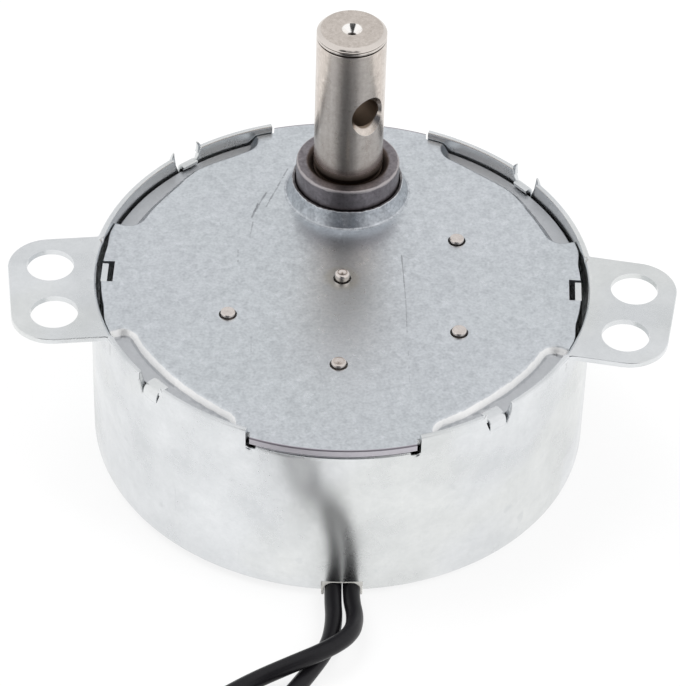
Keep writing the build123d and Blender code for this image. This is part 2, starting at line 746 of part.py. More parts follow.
def make_lead_tie():
    """Flat band round both coils at one place."""
    inner = coil_turn_radius - lead_radius - tie_gap
    outer = coil_turn_radius + lead_radius + tie_gap
    high = right_coil_low + coil_height + tie_gap
    half = tie_width / 2
    band = block(inner - tie_thickness, outer + tie_thickness, -half, half, floor_gap, high + tie_thickness)
    band -= block(inner, outer, -tie_width, tie_width, -beyond, high)
    return Pos(coil_x, coil_y, 0) * Rot(0, 0, tie_direction) * band


# ---- write every node -------------------------------------------------------------------------------
nodes = {
    "case": make_case(),
    "cover_plate": make_cover_plate(),
    "gear_plate": make_gear_plate(),
    "upper_pole_plate": make_upper_pole_plate(),
    "coil_bobbin": make_coil_bobbin(),
    "coil_winding": winding_ring(bobbin_inner_radius + bobbin_wall + layer_gap, winding_radius),
    "coil_tape": winding_ring(winding_radius + layer_gap, winding_radius + layer_gap + tape_thickness),
    "lead_joint_sleeves": make_joint_sleeves(),
    "lead_saddle": make_lead_saddle(),
    "rotor_magnet": make_rotor_magnet(),
    "rotor_hub": make_rotor_hub(),
    "rotor_axle": make_rotor_axle(),
    "first_gear": make_first_gear(),
    "second_gear": make_second_gear(),
    "third_gear": make_third_gear(),
    "third_pinion": make_third_pinion(),
    "fourth_gear": make_fourth_gear(),
    "fourth_pinion": make_fourth_pinion(),
    "output_gear": make_output_gear(),
    "output_shaft": make_output_shaft(),
    "output_bush": make_output_bush(),
    "shaft_foot_bush": make_shaft_foot_bush(),
    "thrust_washer": make_thrust_washer(),
    "lead_left": lead_tube("left lead", left_route),
    "lead_right": lead_tube("right lead", right_route),
    "lead_left_coil": coil_ring(floor_gap),
    "lead_right_coil": coil_ring(right_coil_low),
    "lead_left_tip": lead_tip(left_coil_end, floor_gap),
    "lead_right_tip": lead_tip(right_coil_end, right_coil_low),
    "lead_tie": make_lead_tie(),
}
for name, at in (("first", first_at), ("second", second_at), ("third", third_at), ("fourth", fourth_at)):
    nodes[name + "_axle"] = make_gear_axle(at)

os.makedirs("parts", exist_ok=True)
for name, shape in nodes.items():
    export_step(shape, "parts/" + name + ".step")
print(len(nodes), "nodes written")
for name, at in (("first", first_at), ("second", second_at), ("third", third_at), ("fourth", fourth_at)):
    print(name, "axle at %.6f, %.6f" % at)
print("gear levels", ["%.2f" % level for level in (level_one, level_two, level_three, level_four, cluster_top)])
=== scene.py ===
import json
import bpy
import bmesh
import numpy as np
from math import cos, sin, radians, pi
from mathutils import Matrix


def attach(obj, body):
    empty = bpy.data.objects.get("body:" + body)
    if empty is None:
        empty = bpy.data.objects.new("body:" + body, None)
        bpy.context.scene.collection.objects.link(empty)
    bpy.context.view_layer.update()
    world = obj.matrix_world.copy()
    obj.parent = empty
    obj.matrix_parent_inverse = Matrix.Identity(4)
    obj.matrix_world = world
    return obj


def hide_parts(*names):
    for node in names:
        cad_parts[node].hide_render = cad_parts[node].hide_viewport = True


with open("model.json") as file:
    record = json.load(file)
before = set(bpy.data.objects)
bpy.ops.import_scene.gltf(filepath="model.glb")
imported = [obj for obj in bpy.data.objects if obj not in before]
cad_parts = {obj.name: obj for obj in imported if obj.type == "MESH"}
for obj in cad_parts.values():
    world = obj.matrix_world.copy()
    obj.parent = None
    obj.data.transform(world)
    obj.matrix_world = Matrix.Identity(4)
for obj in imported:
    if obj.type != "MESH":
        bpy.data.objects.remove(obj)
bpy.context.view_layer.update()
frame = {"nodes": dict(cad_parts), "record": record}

mm = 0.001      # the scene is in metres, the sizes below in millimetres


# the middle of a fixed part, seen from above
def middleOf(node):
    box = np.array([corner[:] for corner in frame["nodes"][node].bound_box]) / mm
    return tuple(np.round((box.min(0) + box.max(0)) / 2, 6)[:2].tolist())


shaftAt = middleOf("output_bush")
topSpan, bottomSpan = (15.0, 25.0), (-1.0, 1.0)      # heights of cutters through the can's top and bottom

cameraSetup = {
    "place": (3.9053, -263.4012, 244.2875),              # in the motor's own frame
    "yaw": -0.0149, "pitch": 0.725, "roll": 0.0313,      # radians; pitch looks down
    "focalPixels": 3479.66, "longSidePixels": 686, "sensor": 36.0, "clip": (0.01, 20.0),
}


def newPiece(name, data):
    piece = bpy.data.objects.new(name, data)
    bpy.context.scene.collection.objects.link(piece)
    return piece


def makeCamera(setup):
    data = bpy.data.cameras.new("mainCamera")
    data.sensor_width = setup["sensor"]
    data.lens = setup["focalPixels"] / setup["longSidePixels"] * setup["sensor"]
    data.clip_start, data.clip_end = setup["clip"]
    camera = newPiece("mainCamera", data)
    aim = Matrix.Rotation(-setup["yaw"], 4, "Z") @ Matrix.Rotation(pi / 2 - setup["pitch"], 4, "X")
    aim = Matrix.Translation([value * mm for value in setup["place"]]) @ aim
    camera.matrix_world = aim @ Matrix.Rotation(setup["roll"], 4, "Z")
    bpy.context.scene.camera = camera


makeCamera(cameraSetup)
print("camera set")


# a mesh object from points in mm and faces
def meshPiece(name, points, faces):
    mesh = bpy.data.meshes.new(name)
    points = np.asarray(points, float).reshape(-1, 3) * mm
    mesh.from_pydata(points.tolist(), [], [tuple(face) for face in faces])
    return newPiece(name, mesh)


# smooth apart from edges sharper than the angle
def shade(piece, smoothAngle):
    piece.data.shade_smooth()
    piece.data.set_sharp_from_angle(angle=radians(smoothAngle))


# merges doubles, drops empty faces, fills the end loops and turns the faces outwards
def cleanSurface(piece, smoothAngle=35.0, fill=False):
    work = bmesh.new()
    work.from_mesh(piece.data)
    bmesh.ops.remove_doubles(work, verts=work.verts, dist=2e-7)
    bmesh.ops.dissolve_degenerate(work, edges=work.edges, dist=1e-7)
    if fill:
        bmesh.ops.holes_fill(work, edges=[edge for edge in work.edges if edge.is_boundary], sides=0)
    bmesh.ops.recalc_face_normals(work, faces=work.faces)
    work.to_mesh(piece.data)
    work.free()
    shade(piece, smoothAngle)
    return piece


# surface over a grid of points, rows by columns by 3, closed around: the last column joins the first
def gridPiece(name, points, smoothAngle=35.0, fill=False):
    rows, columns = points.shape[:2]
    index = np.arange(rows * columns).reshape(rows, columns)
    index = np.concatenate((index, index[:, :1]), axis=1)
    corners = (index[:-1, :-1], index[:-1, 1:], index[1:, 1:], index[1:, :-1])
    faces = np.stack(corners, axis=-1).reshape(-1, 4).tolist()
    return cleanSurface(meshPiece(name, points, faces), smoothAngle, fill)


# surface about an upright axis: point = (at + radius * (cos a, sin a), height) for each row and each angle a
def polarPiece(name, radius, height, angle, smoothAngle, at=(0.0, 0.0)):
    points = (at[0] + radius * np.cos(angle), at[1] + radius * np.sin(angle), height + 0 * angle)
    return gridPiece(name, np.stack(points, axis=-1), smoothAngle)


# turned surface from a profile of (radius, height); lift is added to the heights, for each row and angle
def turnedPiece(name, profile, at=(0.0, 0.0), around=160, smoothAngle=35.0, lift=0.0):
    profile = np.asarray(profile, float)
    angle = np.linspace(0, 2 * pi, around, endpoint=False)
    return polarPiece(name, profile[:, :1], profile[:, 1:] + lift, angle, smoothAngle, at)


# an arc in a profile: centre + radius * (cos t, sin t) from one angle to the other
def arc(centre, radius, start, end, steps):
    t = np.radians(np.linspace(start, end, steps))
    return [(centre[0] + radius * c, centre[1] + radius * s) for c, s in zip(np.cos(t), np.sin(t))]


# cuts a piece with cutters, which are removed, and keeps the result as its mesh
def cutAway(piece, cutters, smoothAngle):
    for cutter in cutters:
        change = piece.modifiers.new("cut", "BOOLEAN")
        change.operation = "DIFFERENCE"
        change.solver = "EXACT"
        change.object = cutter
    bpy.context.view_layer.update()
    result = bpy.data.meshes.new_from_object(piece.evaluated_get(bpy.context.evaluated_depsgraph_get()))
    result.name = piece.name
    piece.modifiers.clear()
    piece.data = result
    for cutter in cutters:
        bpy.data.objects.remove(cutter)
    shade(piece, smoothAngle)
    return piece


def cylinderCutter(radius, span, at, around=72):
    low, high = span
    return turnedPiece("cutter", [(0, low), (radius, low), (radius, high), (0, high)], at, around)


# upright prism over a closed outline
def prismCutter(outline, span):
    count = len(outline)
    points = [(x, y, z) for z in span for x, y in outline]
    sides = [(i, (i + 1) % count, count + (i + 1) % count, count + i) for i in range(count)]
    faces = sides + [tuple(range(count))[::-1], tuple(range(count, 2 * count))]
    return cleanSurface(meshPiece("cutter", points, faces))


def blockCutter(x0, x1, y0, y1, span):
    return prismCutter([(x0, y0), (x1, y0), (x1, y1), (x0, y1)], span)


# strip or bar: a rounded rectangle, y = w * c^(1/4) and n = h * s^(1/4) with the signs of cos and sin,
# carried along a path of (out, up) points in the upright plane at a direction; w and h may change on the way
def barPiece(name, path, halfWidth, halfThick, direction, centre=(0.0, 0.0), lean=0.0, noseShare=0.12,
             around=40):
    path = np.asarray(path, float)
    along = np.gradient(path, axis=0)
    along /= np.linalg.norm(along, axis=1, keepdims=True)
    normal = np.stack((-along[:, 1], along[:, 0]), axis=1)
    share = np.linspace(0, 1, len(path))
    nose = np.clip((share - 1 + noseShare) / noseShare, 0, 1)
    taper = np.sqrt(np.clip(1 - nose ** 2, 0, 1))
    t = np.linspace(0, 2 * pi, around, endpoint=False)
    wide, thick = (np.sign(wave) * np.abs(wave) ** 0.25 for wave in (np.cos(t), np.sin(t)))
    width = (halfWidth * (0.75 + 0.25 * taper) * (taper > 0))[:, None] * wide + lean * (share ** 2)[:, None]
    depth = (halfThick * taper)[:, None] * thick
    out = path[:, :1] + normal[:, :1] * depth
    up = path[:, 1:] + normal[:, 1:] * depth
    a = radians(direction)
    points = (centre[0] + out * cos(a) - width * sin(a), centre[1] + out * sin(a) + width * cos(a), up)
    return gridPiece(name, np.stack(points, -1), 40, fill=True)


# cubic curve through four control points
def bend(p0, p1, p2, p3, steps=18):
    t = np.linspace(0, 1, steps)[:, None]
    p0, p1, p2, p3 = (np.asarray(p, float) for p in (p0, p1, p2, p3))
    return (1 - t) ** 3 * p0 + 3 * (1 - t) ** 2 * t * p1 + 3 * (1 - t) * t ** 2 * p2 + t ** 3 * p3


# a merged copy of a fixed part's mesh whose sharp edges get a small round
def roundedCopy(name, node, width, smoothAngle=32.0):
    mesh = frame["nodes"][node].data.copy()
    mesh.name = name
    work = bmesh.new()
    work.from_mesh(mesh)
    bmesh.ops.remove_doubles(work, verts=work.verts, dist=1e-6)
    bmesh.ops.dissolve_limit(work, angle_limit=radians(0.3), verts=work.verts, edges=work.edges)
    work.to_mesh(mesh)
    work.free()
    piece = newPiece(name, mesh)
    shade(piece, smoothAngle)
    bevel = piece.modifiers.new("edges", "BEVEL")
    bevel.width = width * mm
    bevel.segments = 3
    bevel.limit_method = "ANGLE"
    bevel.angle_limit = radians(smoothAngle)
    bevel.harden_normals = True
    return piece


# gives a finished piece its body and the material of its slot, or the one named instead, and hides the fixed
# nodes that it stands for
def place(piece, body, slot, *replaced, material=None):
    piece.data.materials.clear()
    piece.data.materials.append(materials[material or slot])
    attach(piece, body)
    if replaced:
        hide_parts(*replaced)
    return piece


def joined(name, pieces):
    work = bmesh.new()
    for piece in pieces:
        work.from_mesh(piece.data)
        bpy.data.objects.remove(piece)
    mesh = bpy.data.meshes.new(name)
    work.to_mesh(mesh)
    work.free()
    whole = newPiece(name, mesh)
    shade(whole, 40)
    return whole


# smooth step from 0 to 1
def eased(share):
    share = np.clip(share, 0, 1)
    return share * share * (3 - 2 * share)


# shader tools: each takes sockets or plain values, colours as three numbers
def connect(tree, value, socket):
    if isinstance(value, (int, float, tuple)):
        socket.default_value = (*value, 1.0) if socket.type == "RGBA" else value
    elif value is not None:
        tree.links.new(value, socket)


# a node with its options set and its inputs, by name or number, connected
def newNode(tree, kind, inputs=(), **options):
    node = tree.nodes.new("ShaderNode" + kind)
    for key, value in options.items():
        setattr(node, key, value)
    for key, value in dict(inputs).items():
        connect(tree, value, node.inputs[key])
    return node


def newGroup(name, inputs, outputs):
    tree = bpy.data.node_groups.new(name, "ShaderNodeTree")
    for key, value in inputs.items():
        kind = "NodeSocketVector" if isinstance(value, tuple) else "NodeSocketFloat"
        tree.interface.new_socket(name=key, in_out="INPUT", socket_type=kind).default_value = value
    for key in outputs:
        tree.interface.new_socket(name=key, in_out="OUTPUT", socket_type="NodeSocketFloat")
    return tree, tree.nodes.new("NodeGroupInput").outputs, tree.nodes.new("NodeGroupOutput").inputs


def placeGroup(tree, effect, **values):
    return newNode(tree, "Group", values, node_tree=effects[effect]).outputs


def math(tree, operation, *values, clamp=False):
    return newNode(tree, "Math", enumerate(values), operation=operation, use_clamp=clamp).outputs[0]


def vectors(tree, operation, first, second=None, scale=None):
    node = newNode(tree, "VectorMath", {0: first, 1: second, 3: scale}, operation=operation)
    return node.outputs[1 if operation in ("DOT_PRODUCT", "LENGTH", "DISTANCE") else 0]


def mixColour(tree, factor, first, second, blend="MIX"):
    inputs = {0: factor, 6: first, 7: second}
    return newNode(tree, "Mix", inputs, data_type="RGBA", blend_type=blend).outputs[2]


# maps a value between two limits to 0..1, or to the next two numbers, with a smooth step
def ramp(tree, *values):
    return newNode(tree, "MapRange", enumerate(values), interpolation_type="SMOOTHSTEP").outputs[0]


# noise over the object's own coordinates; scale is in features per metre and seed moves the pattern
def noise(tree, where, scale, detail=3.0, roughness=0.55, seed=0.0, distortion=0.0):
    inputs = {"Vector": where, "W": seed, "Scale": scale, "Detail": detail, "Roughness": roughness,
              "Distortion": distortion}
    return newNode(tree, "TexNoise", inputs, noise_dimensions="4D").outputs[0]


# the same around 0
def evenNoise(tree, *settings):
    return math(tree, "SUBTRACT", noise(tree, *settings), 0.5)


def objectCoordinates(tree):
    return newNode(tree, "TexCoord").outputs["Object"]


def stretched(tree, where, scale, turn=0.0):
    inputs = {"Vector": where, "Rotation": (0.0, 0.0, radians(turn)), "Scale": scale}
    return newNode(tree, "Mapping", inputs).outputs[0]


# faint clouds and fine crystals of a zinc coating: a tone around 0, and a height
def zincBloomGroup():
    tree, given, result = newGroup("zincBloom", {"Clouds": 1.0, "Crystals": 1.0}, ("Tone", "Height"))
    where = objectCoordinates(tree)
    clouds = math(tree, "MULTIPLY", evenNoise(tree, where, 130.0, 4.0, 0.6), given["Clouds"])
    fine = evenNoise(tree, where, 1300.0, 2.0, 0.6, 3.0, 0.4)
    grit = math(tree, "MULTIPLY", evenNoise(tree, where, 3600.0, 1.0, 0.5, 8.0), 0.8)
    small = math(tree, "MULTIPLY", math(tree, "ADD", fine, grit), given["Crystals"])
    connect(tree, math(tree, "ADD", clouds, small), result["Tone"])
    connect(tree, small, result["Height"])
    return tree


# sparse hairline scratches in three directions and a few small spots: a mask from 0 to 1
def scratchGroup():
    tree, given, result = newGroup("hairScratches", {"Amount": 0.5}, ("Mask",))
    where = objectCoordinates(tree)
    total = ramp(tree, noise(tree, where, 560.0, 0.0, 0.5, 17.0), 0.770, 0.795)
    for turn, seed in ((14.0, 1.0), (-38.0, 5.0), (82.0, 9.0)):
        lines = noise(tree, stretched(tree, where, (5200.0, 210.0, 210.0), turn), 1.0, 1.0, 0.4, seed, 0.15)
        patches = noise(tree, where, 190.0, 1.0, 0.5, seed + 20)
        hair = math(tree, "MULTIPLY", ramp(tree, lines, 0.71, 0.76), ramp(tree, patches, 0.55, 0.68))
        total = math(tree, "MAXIMUM", hair, total)
    connect(tree, math(tree, "MULTIPLY", total, given["Amount"]), result["Mask"])
    return tree


# where the surface turns sharply: the rounded normal leaves the true one. A mask from 0 to 1
def edgeWearGroup():
    tree, given, result = newGroup("edgeWear", {"Reach": 0.0001}, ("Mask",))
    rounded = newNode(tree, "Bevel", {"Radius": given["Reach"]}, samples=4).outputs[0]
    facing = vectors(tree, "DOT_PRODUCT", rounded, newNode(tree, "NewGeometry").outputs["Normal"])
    speckle = ramp(tree, noise(tree, objectCoordinates(tree), 1900.0, 2.0, 0.6, 2.0), 0.30, 0.60, 0.35, 1.0)
    connect(tree, math(tree, "MULTIPLY", ramp(tree, facing, 0.995, 0.90), speckle), result["Mask"])
    return tree


# fine turned or drawn grain: streaks along the Z axis or around it. A tone around 0
def grainGroup():
    tree, given, result = newGroup("metalGrain", {"Along": 0.0, "Around": 0.0}, ("Tone",))
    where = objectCoordinates(tree)
    tones = [math(tree, "MULTIPLY", evenNoise(tree, stretched(tree, where, scale), 1.0, 2.0), given[key])
             for key, scale in (("Along", (2600.0, 2600.0, 60.0)), ("Around", (60.0, 60.0, 5200.0)))]
    connect(tree, math(tree, "ADD", *tones), result["Tone"])
    return tree


# a worn line between two points, ragged and broken up: a mask from the distance to the segment in plan
def drawnMarkGroup():
    given = {"From": (0.0, 0.0, 0.0), "To": (1.0, 0.0, 0.0), "Width": 0.0001, "Broken": 0.5}
    tree, given, result = newGroup("drawnMark", given, ("Mask",))
    where = objectCoordinates(tree)
    reach = vectors(tree, "SUBTRACT", given["To"], given["From"])
    offset = vectors(tree, "SUBTRACT", vectors(tree, "MULTIPLY", where, (1.0, 1.0, 0.0)), given["From"])
    share = math(tree, "DIVIDE", vectors(tree, "DOT_PRODUCT", offset, reach),
                 vectors(tree, "DOT_PRODUCT", reach, reach), clamp=True)
    gap = vectors(tree, "DISTANCE", offset, vectors(tree, "SCALE", reach, scale=share))
    ragged = math(tree, "MULTIPLY", evenNoise(tree, where, 900.0, 2.0, 0.6, 4.0),
                  math(tree, "MULTIPLY", given["Width"], 2.5))
    near = ramp(tree, math(tree, "ABSOLUTE", math(tree, "ADD", gap, ragged)), given["Width"], 0.0)
    pieces = ramp(tree, noise(tree, where, 1500.0, 2.0, 0.6, 6.0),
                  math(tree, "SUBTRACT", given["Broken"], 0.1), given["Broken"])
    connect(tree, math(tree, "MULTIPLY", near, pieces), result["Mask"])
    return tree


# 1 inside a ring about an upright axis and between two heights, with soft and slightly ragged borders
def zoneGroup():
    given = {"At": (0.0, 0.0, 0.0), "Inner": -1.0, "Outer": 1.0, "Low": -1.0, "High": 1.0, "Soft": 0.0001,
             "Uneven": 0.0, "Strength": 1.0}
    tree, given, result = newGroup("uprightZone", given, ("Mask",))
    where = objectCoordinates(tree)
    flat = vectors(tree, "MULTIPLY", vectors(tree, "SUBTRACT", where, given["At"]), (1.0, 1.0, 0.0))
    uneven = math(tree, "MULTIPLY", evenNoise(tree, where, 700.0, 3.0, 0.6, 14.0), given["Uneven"])
    radius = math(tree, "ADD", vectors(tree, "LENGTH", flat), uneven)
    height = math(tree, "ADD", newNode(tree, "SeparateXYZ", {0: where}).outputs[2], uneven)
    mask = given["Strength"]
    for value, keys in ((radius, ("Inner", "Outer")), (height, ("Low", "High"))):
        for key, operations in zip(keys, (("SUBTRACT", "ADD"), ("ADD", "SUBTRACT"))):
            limits = [math(tree, operation, given[key], given["Soft"]) for operation in operations]
            mask = math(tree, "MULTIPLY", mask, ramp(tree, value, *limits))
    connect(tree, mask, result["Mask"])
    return tree


effects = {"bloom": zincBloomGroup(), "scratches": scratchGroup(), "wear": edgeWearGroup(),
           "grain": grainGroup(), "mark": drawnMarkGroup(), "zone": zoneGroup()}
print("shared surface effects built")

plainFinish = {"gloss": 0.5, "clouds": 0.3, "crystals": 0.3, "grain": 0.0, "around": 0.0, "roughVary": 0.12,
               "bump": 0.1, "bumpDepth": 0.02, "wearReach": 0.1, "zones": (), "marks": ()}
zoneSizes = {"inner": -1000.0, "outer": 1000.0, "low": -1000.0, "high": 1000.0, "soft": 0.1, "uneven": 0.0}


def newMaterial(name):
    material = bpy.data.materials.new(name)
    material.use_nodes = True
    return material, material.node_tree, material.node_tree.nodes["Principled BSDF"]


# a material whose colour, roughness and bump come from the shared effects
def surfaceMaterial(name, look):
    material, tree, shader = newMaterial(name)
    connect(tree, look["metal"], shader.inputs["Metallic"])
    connect(tree, look["gloss"], shader.inputs["Specular IOR Level"])
    tone, height = placeGroup(tree, "bloom", Clouds=look["clouds"], Crystals=look["crystals"])
    if look["grain"] or look["around"]:
        grain = placeGroup(tree, "grain", Along=look["grain"], Around=look["around"])[0]
        tone, height = (math(tree, "ADD", value, grain) for value in (tone, height))
    colour = mixColour(tree, math(tree, "ADD", tone, 0.5, clamp=True), look["dark"], look["colour"])
    rough = math(tree, "MULTIPLY", tone, -look["roughVary"])
    rough = math(tree, "ADD", rough, look["rough"], clamp=True)
    if "tint" in look:                # broad patches of another tint
        patches = ramp(tree, noise(tree, objectCoordinates(tree), 75.0, 2.0, 0.5, 11.0), 0.45, 0.62)
        tinted = mixColour(tree, 1.0, colour, look["tint"], "MULTIPLY")
        colour = mixColour(tree, patches, colour, tinted)
    if "wear" in look:
        wear = placeGroup(tree, "wear", Reach=look["wearReach"] * mm)[0]
        colour = mixColour(tree, math(tree, "MULTIPLY", wear, look["wear"]), colour, look["worn"])
    for zone in look["zones"]:        # parts of the surface by distance from an axis and by height
        x, y = zone.get("at", (0.0, 0.0))
        sizes = {key.capitalize(): zone.get(key, usual) * mm for key, usual in zoneSizes.items()}
        strength = zone.get("strength", 1.0)
        inside = placeGroup(tree, "zone", At=(x * mm, y * mm, 0.0), Strength=strength, **sizes)[0]
        colour = mixColour(tree, inside, colour, zone["colour"])
        rougher = math(tree, "MULTIPLY", inside, zone.get("rougher", 0.0))
        rough = math(tree, "ADD", rough, rougher, clamp=True)
    if "scratch" in look:
        scratch = placeGroup(tree, "scratches", Amount=look["scratch"])[0]
        colour = mixColour(tree, scratch, colour, look["dark"])
        height = math(tree, "SUBTRACT", height, scratch)
    for start, end, width, strength, broken in look["marks"]:
        start, end = ((x * mm, y * mm, 0.0) for x, y in (start, end))
        mark = placeGroup(tree, "mark", From=start, To=end, Width=width * mm, Broken=broken)[0]
        mark = math(tree, "MULTIPLY", mark, strength)
        colour = mixColour(tree, mark, colour, look["marked"])
        height = math(tree, "SUBTRACT", height, mark)
    inputs = {"Strength": look["bump"], "Distance": look["bumpDepth"] * mm, "Height": height}
    bump = newNode(tree, "Bump", inputs).outputs[0]
    for key, value in (("Base Color", colour), ("Roughness", rough), ("Normal", bump)):
        connect(tree, value, shader.inputs[key])
    return material


def finish(colour, dark, metal, rough, **more):
    return {**plainFinish, "colour": colour, "dark": dark, "metal": metal, "rough": rough, **more}


# part of a surface about the slow shaft's axis
def shaftZone(colour, **more):
    return {"at": shaftAt, "colour": colour, **more}


# worn lines: start, end, width, strength, how broken up
coverMarks = (
    ((5.81, 3.98), (6.39, -2.90), 0.085, 0.75, 0.42), ((6.39, -2.90), (6.62, -7.83), 0.075, 0.55, 0.47),
    ((6.74, -8.85), (7.01, -15.09), 0.07, 0.35, 0.52), ((-6.25, 17.01), (-7.80, 11.84), 0.13, 0.7, 0.46),
    ((-8.26, 12.95), (-9.23, 9.98), 0.17, 0.9, 0.43), ((-8.99, 11.28), (-9.48, 9.00), 0.13, 0.8, 0.45),
    ((-7.71, 12.17), (-8.15, 10.69), 0.12, 0.7, 0.45), ((-9.34, 8.21), (-9.51, 5.83), 0.11, 0.6, 0.48),
    ((-10.60, 3.72), (-10.49, 1.86), 0.09, 0.5, 0.50), ((-8.59, -9.07), (-8.45, -11.56), 0.09, 0.35, 0.48),
)
# the lowest edge is painted darker: painted shade where the can stands on the floor
canZones = [dict(high=0.5, soft=0.45, uneven=0.5, strength=0.6, colour=(0.58, 0.60, 0.63))]     # lowest edge
# sunken lips with painted shade, front slopes with a painted highlight, tab ends and their upper edges with
# painted shade, a trace of oil round the middle pin
coverZones = (
    # painted shade: the sunken lips darker, as if shaded by the wall
    dict(high=19.0, uneven=0.3, strength=0.82, rougher=0.1, colour=(0.54, 0.55, 0.57)),
    # painted highlight: the front slopes nearly white, as if lit from the front
    dict(at=(0.0, -60.0), outer=58.0, low=18.90, high=19.37, soft=0.06, uneven=0.26, rougher=0.16,
         colour=(0.995, 0.995, 0.995)),
    # painted shade: the ends of the tabs a darker purple-grey
    dict(inner=24.9, low=18.6, soft=0.03, colour=(0.56, 0.54, 0.58)),
    # painted shade: a dark line along the tabs' upper rounded edges
    dict(inner=24.97, low=19.40, soft=0.03, colour=(0.24, 0.22, 0.25)),
    dict(inner=0.8, outer=1.7, soft=0.5, uneven=1.2, strength=0.4, colour=(0.50, 0.47, 0.38)),
)
# inside of the cross hole, top end and its rings, foot and its lowest part, lathe centre and its drill hole;
# the painted shade and painted highlights among them are noted line by line
shaftZones = (
    # painted shade: the inside of the cross hole darker and browner
    shaftZone((0.25, 0.195, 0.15), outer=2.95, low=29.2, high=33.4, soft=0.08, rougher=0.25),
    shaftZone((0.70, 0.65, 0.61), inner=3.12, low=38.92, soft=0.04, strength=0.9, rougher=-0.16),
    # painted shade: the floors of the two rings nearly black
    shaftZone((0.05, 0.04, 0.035), inner=3.0, outer=3.42, low=38.9, high=39.56, soft=0.03, rougher=0.2),
    shaftZone((0.36, 0.30, 0.25), high=26.5, soft=3.2, strength=0.35, uneven=2.0),
    # painted shade: the shaft nearly black where it goes into the bush
    shaftZone((0.06, 0.042, 0.032), high=23.9, soft=0.6, rougher=0.3),
    # painted highlight: the lathe centre cone nearly white
    shaftZone((0.97, 0.95, 0.93), outer=1.0, low=38.9, soft=0.05, uneven=0.15, rougher=-0.08),
    # painted shade: the drill hole nearly black
    shaftZone((0.07, 0.055, 0.05), outer=0.44, low=37.0, soft=0.05, uneven=0.25, rougher=0.2),
)
# painted shade on the torn rim of the collar; rim of the bush, and painted shade in its bore
collarZones = [shaftZone((0.16, 0.14, 0.14), outer=5.62, low=20.9, soft=0.06, uneven=0.35, strength=0.8)]
bushZones = (
    shaftZone((0.62, 0.58, 0.58), inner=5.08, low=23.28, soft=0.06, uneven=0.5, strength=0.55, rougher=0.1),
    # painted shade: the mouth and bore of the bush dark brown
    shaftZone((0.15, 0.115, 0.10), outer=4.2, low=20.0, soft=0.15, uneven=0.3, rougher=0.2),
)
coverLook = finish((0.735, 0.765, 0.80), (0.53, 0.555, 0.585), 1.0, 0.32, clouds=0.4, crystals=1.5, bump=0.22,
                   wear=0.35, worn=(0.86, 0.87, 0.88), wearReach=0.07, scratch=0.3, tint=(0.985, 0.99, 0.985))
looks = {
    "can_steel": finish((0.865, 0.88, 0.895), (0.62, 0.64, 0.655), 1.0, 0.26, clouds=1.5, crystals=0.28,
                        bump=0.08, tint=(1.0, 0.997, 0.975), wear=0.4, worn=(0.93, 0.94, 0.95), scratch=0.28,
                        zones=canZones),
    "cover_steel": {**coverLook, "marks": coverMarks, "marked": (0.27, 0.28, 0.30), "zones": coverZones},
    "collarSteel": {**coverLook, "colour": (0.66, 0.69, 0.73), "dark": (0.40, 0.42, 0.45), "crystals": 1.9,
                    "bump": 0.4, "wear": 0.8, "wearReach": 0.12, "zones": collarZones},
    "pole_steel": finish((0.55, 0.56, 0.58), (0.38, 0.39, 0.41), 1.0, 0.38),
    "bobbin_nylon": finish((0.78, 0.77, 0.72), (0.66, 0.65, 0.60), 0.0, 0.45),
    "copper_winding": finish((0.72, 0.30, 0.13), (0.42, 0.14, 0.06), 1.0, 0.3, around=1.2, bump=0.4),
    "winding_tape": finish((0.75, 0.62, 0.20), (0.62, 0.50, 0.14), 0.0, 0.35),
    "sleeve_plastic": finish((0.06, 0.06, 0.065), (0.03, 0.03, 0.03), 0.0, 0.4),
    "saddle_plastic": finish((0.80, 0.79, 0.76), (0.68, 0.67, 0.63), 0.0, 0.42),
    "ferrite": finish((0.09, 0.088, 0.09), (0.05, 0.05, 0.052), 0.0, 0.55, crystals=0.8, bump=0.3),
    "rotor_plastic": finish((0.80, 0.79, 0.75), (0.70, 0.69, 0.64), 0.0, 0.4),
    "pin_steel": finish((0.84, 0.78, 0.74), (0.56, 0.50, 0.47), 1.0, 0.24, crystals=0.8, bump=0.15, wear=0.5,
                        worn=(0.92, 0.90, 0.88)),
    "gear_plastic": finish((0.82, 0.81, 0.77), (0.72, 0.71, 0.66), 0.0, 0.36),
    "gear_steel": finish((0.60, 0.58, 0.56), (0.42, 0.40, 0.38), 1.0, 0.34),
    "shaft_steel": finish((0.785, 0.715, 0.66), (0.50, 0.445, 0.40), 1.0, 0.25, clouds=0.6, crystals=0.9,
                          grain=0.7, bump=0.14, roughVary=0.10, wear=0.6, worn=(0.95, 0.93, 0.90),
                          wearReach=0.08, zones=shaftZones),
    "sintered_bush": finish((0.30, 0.275, 0.29), (0.16, 0.145, 0.155), 1.0, 0.36, crystals=1.2, grain=0.7,
                            bump=0.35, wear=0.75, worn=(0.62, 0.59, 0.58), wearReach=0.22, zones=bushZones),
    "washer_plastic": finish((0.72, 0.71, 0.66), (0.60, 0.59, 0.54), 0.0, 0.4),
    "lead_insulation": finish((0.011, 0.010, 0.012), (0.006, 0.006, 0.007), 0.0, 0.34, gloss=0.22,
                              crystals=0.6, bump=0.12),
    "tinned_copper": finish((0.80, 0.79, 0.78), (0.58, 0.56, 0.54), 1.0, 0.28, grain=0.3),
    "tie_plastic": finish((0.03, 0.03, 0.032), (0.014, 0.014, 0.015), 0.0, 0.38),
}
materials = {name: surfaceMaterial(name, look) for name, look in looks.items()}
for part in frame["record"]["subparts"]:
    shown = frame["nodes"][part["node"]].data.materials
    shown.clear()
    shown.append(materials[part["material_slot"]])
print("materials built:", len(materials))


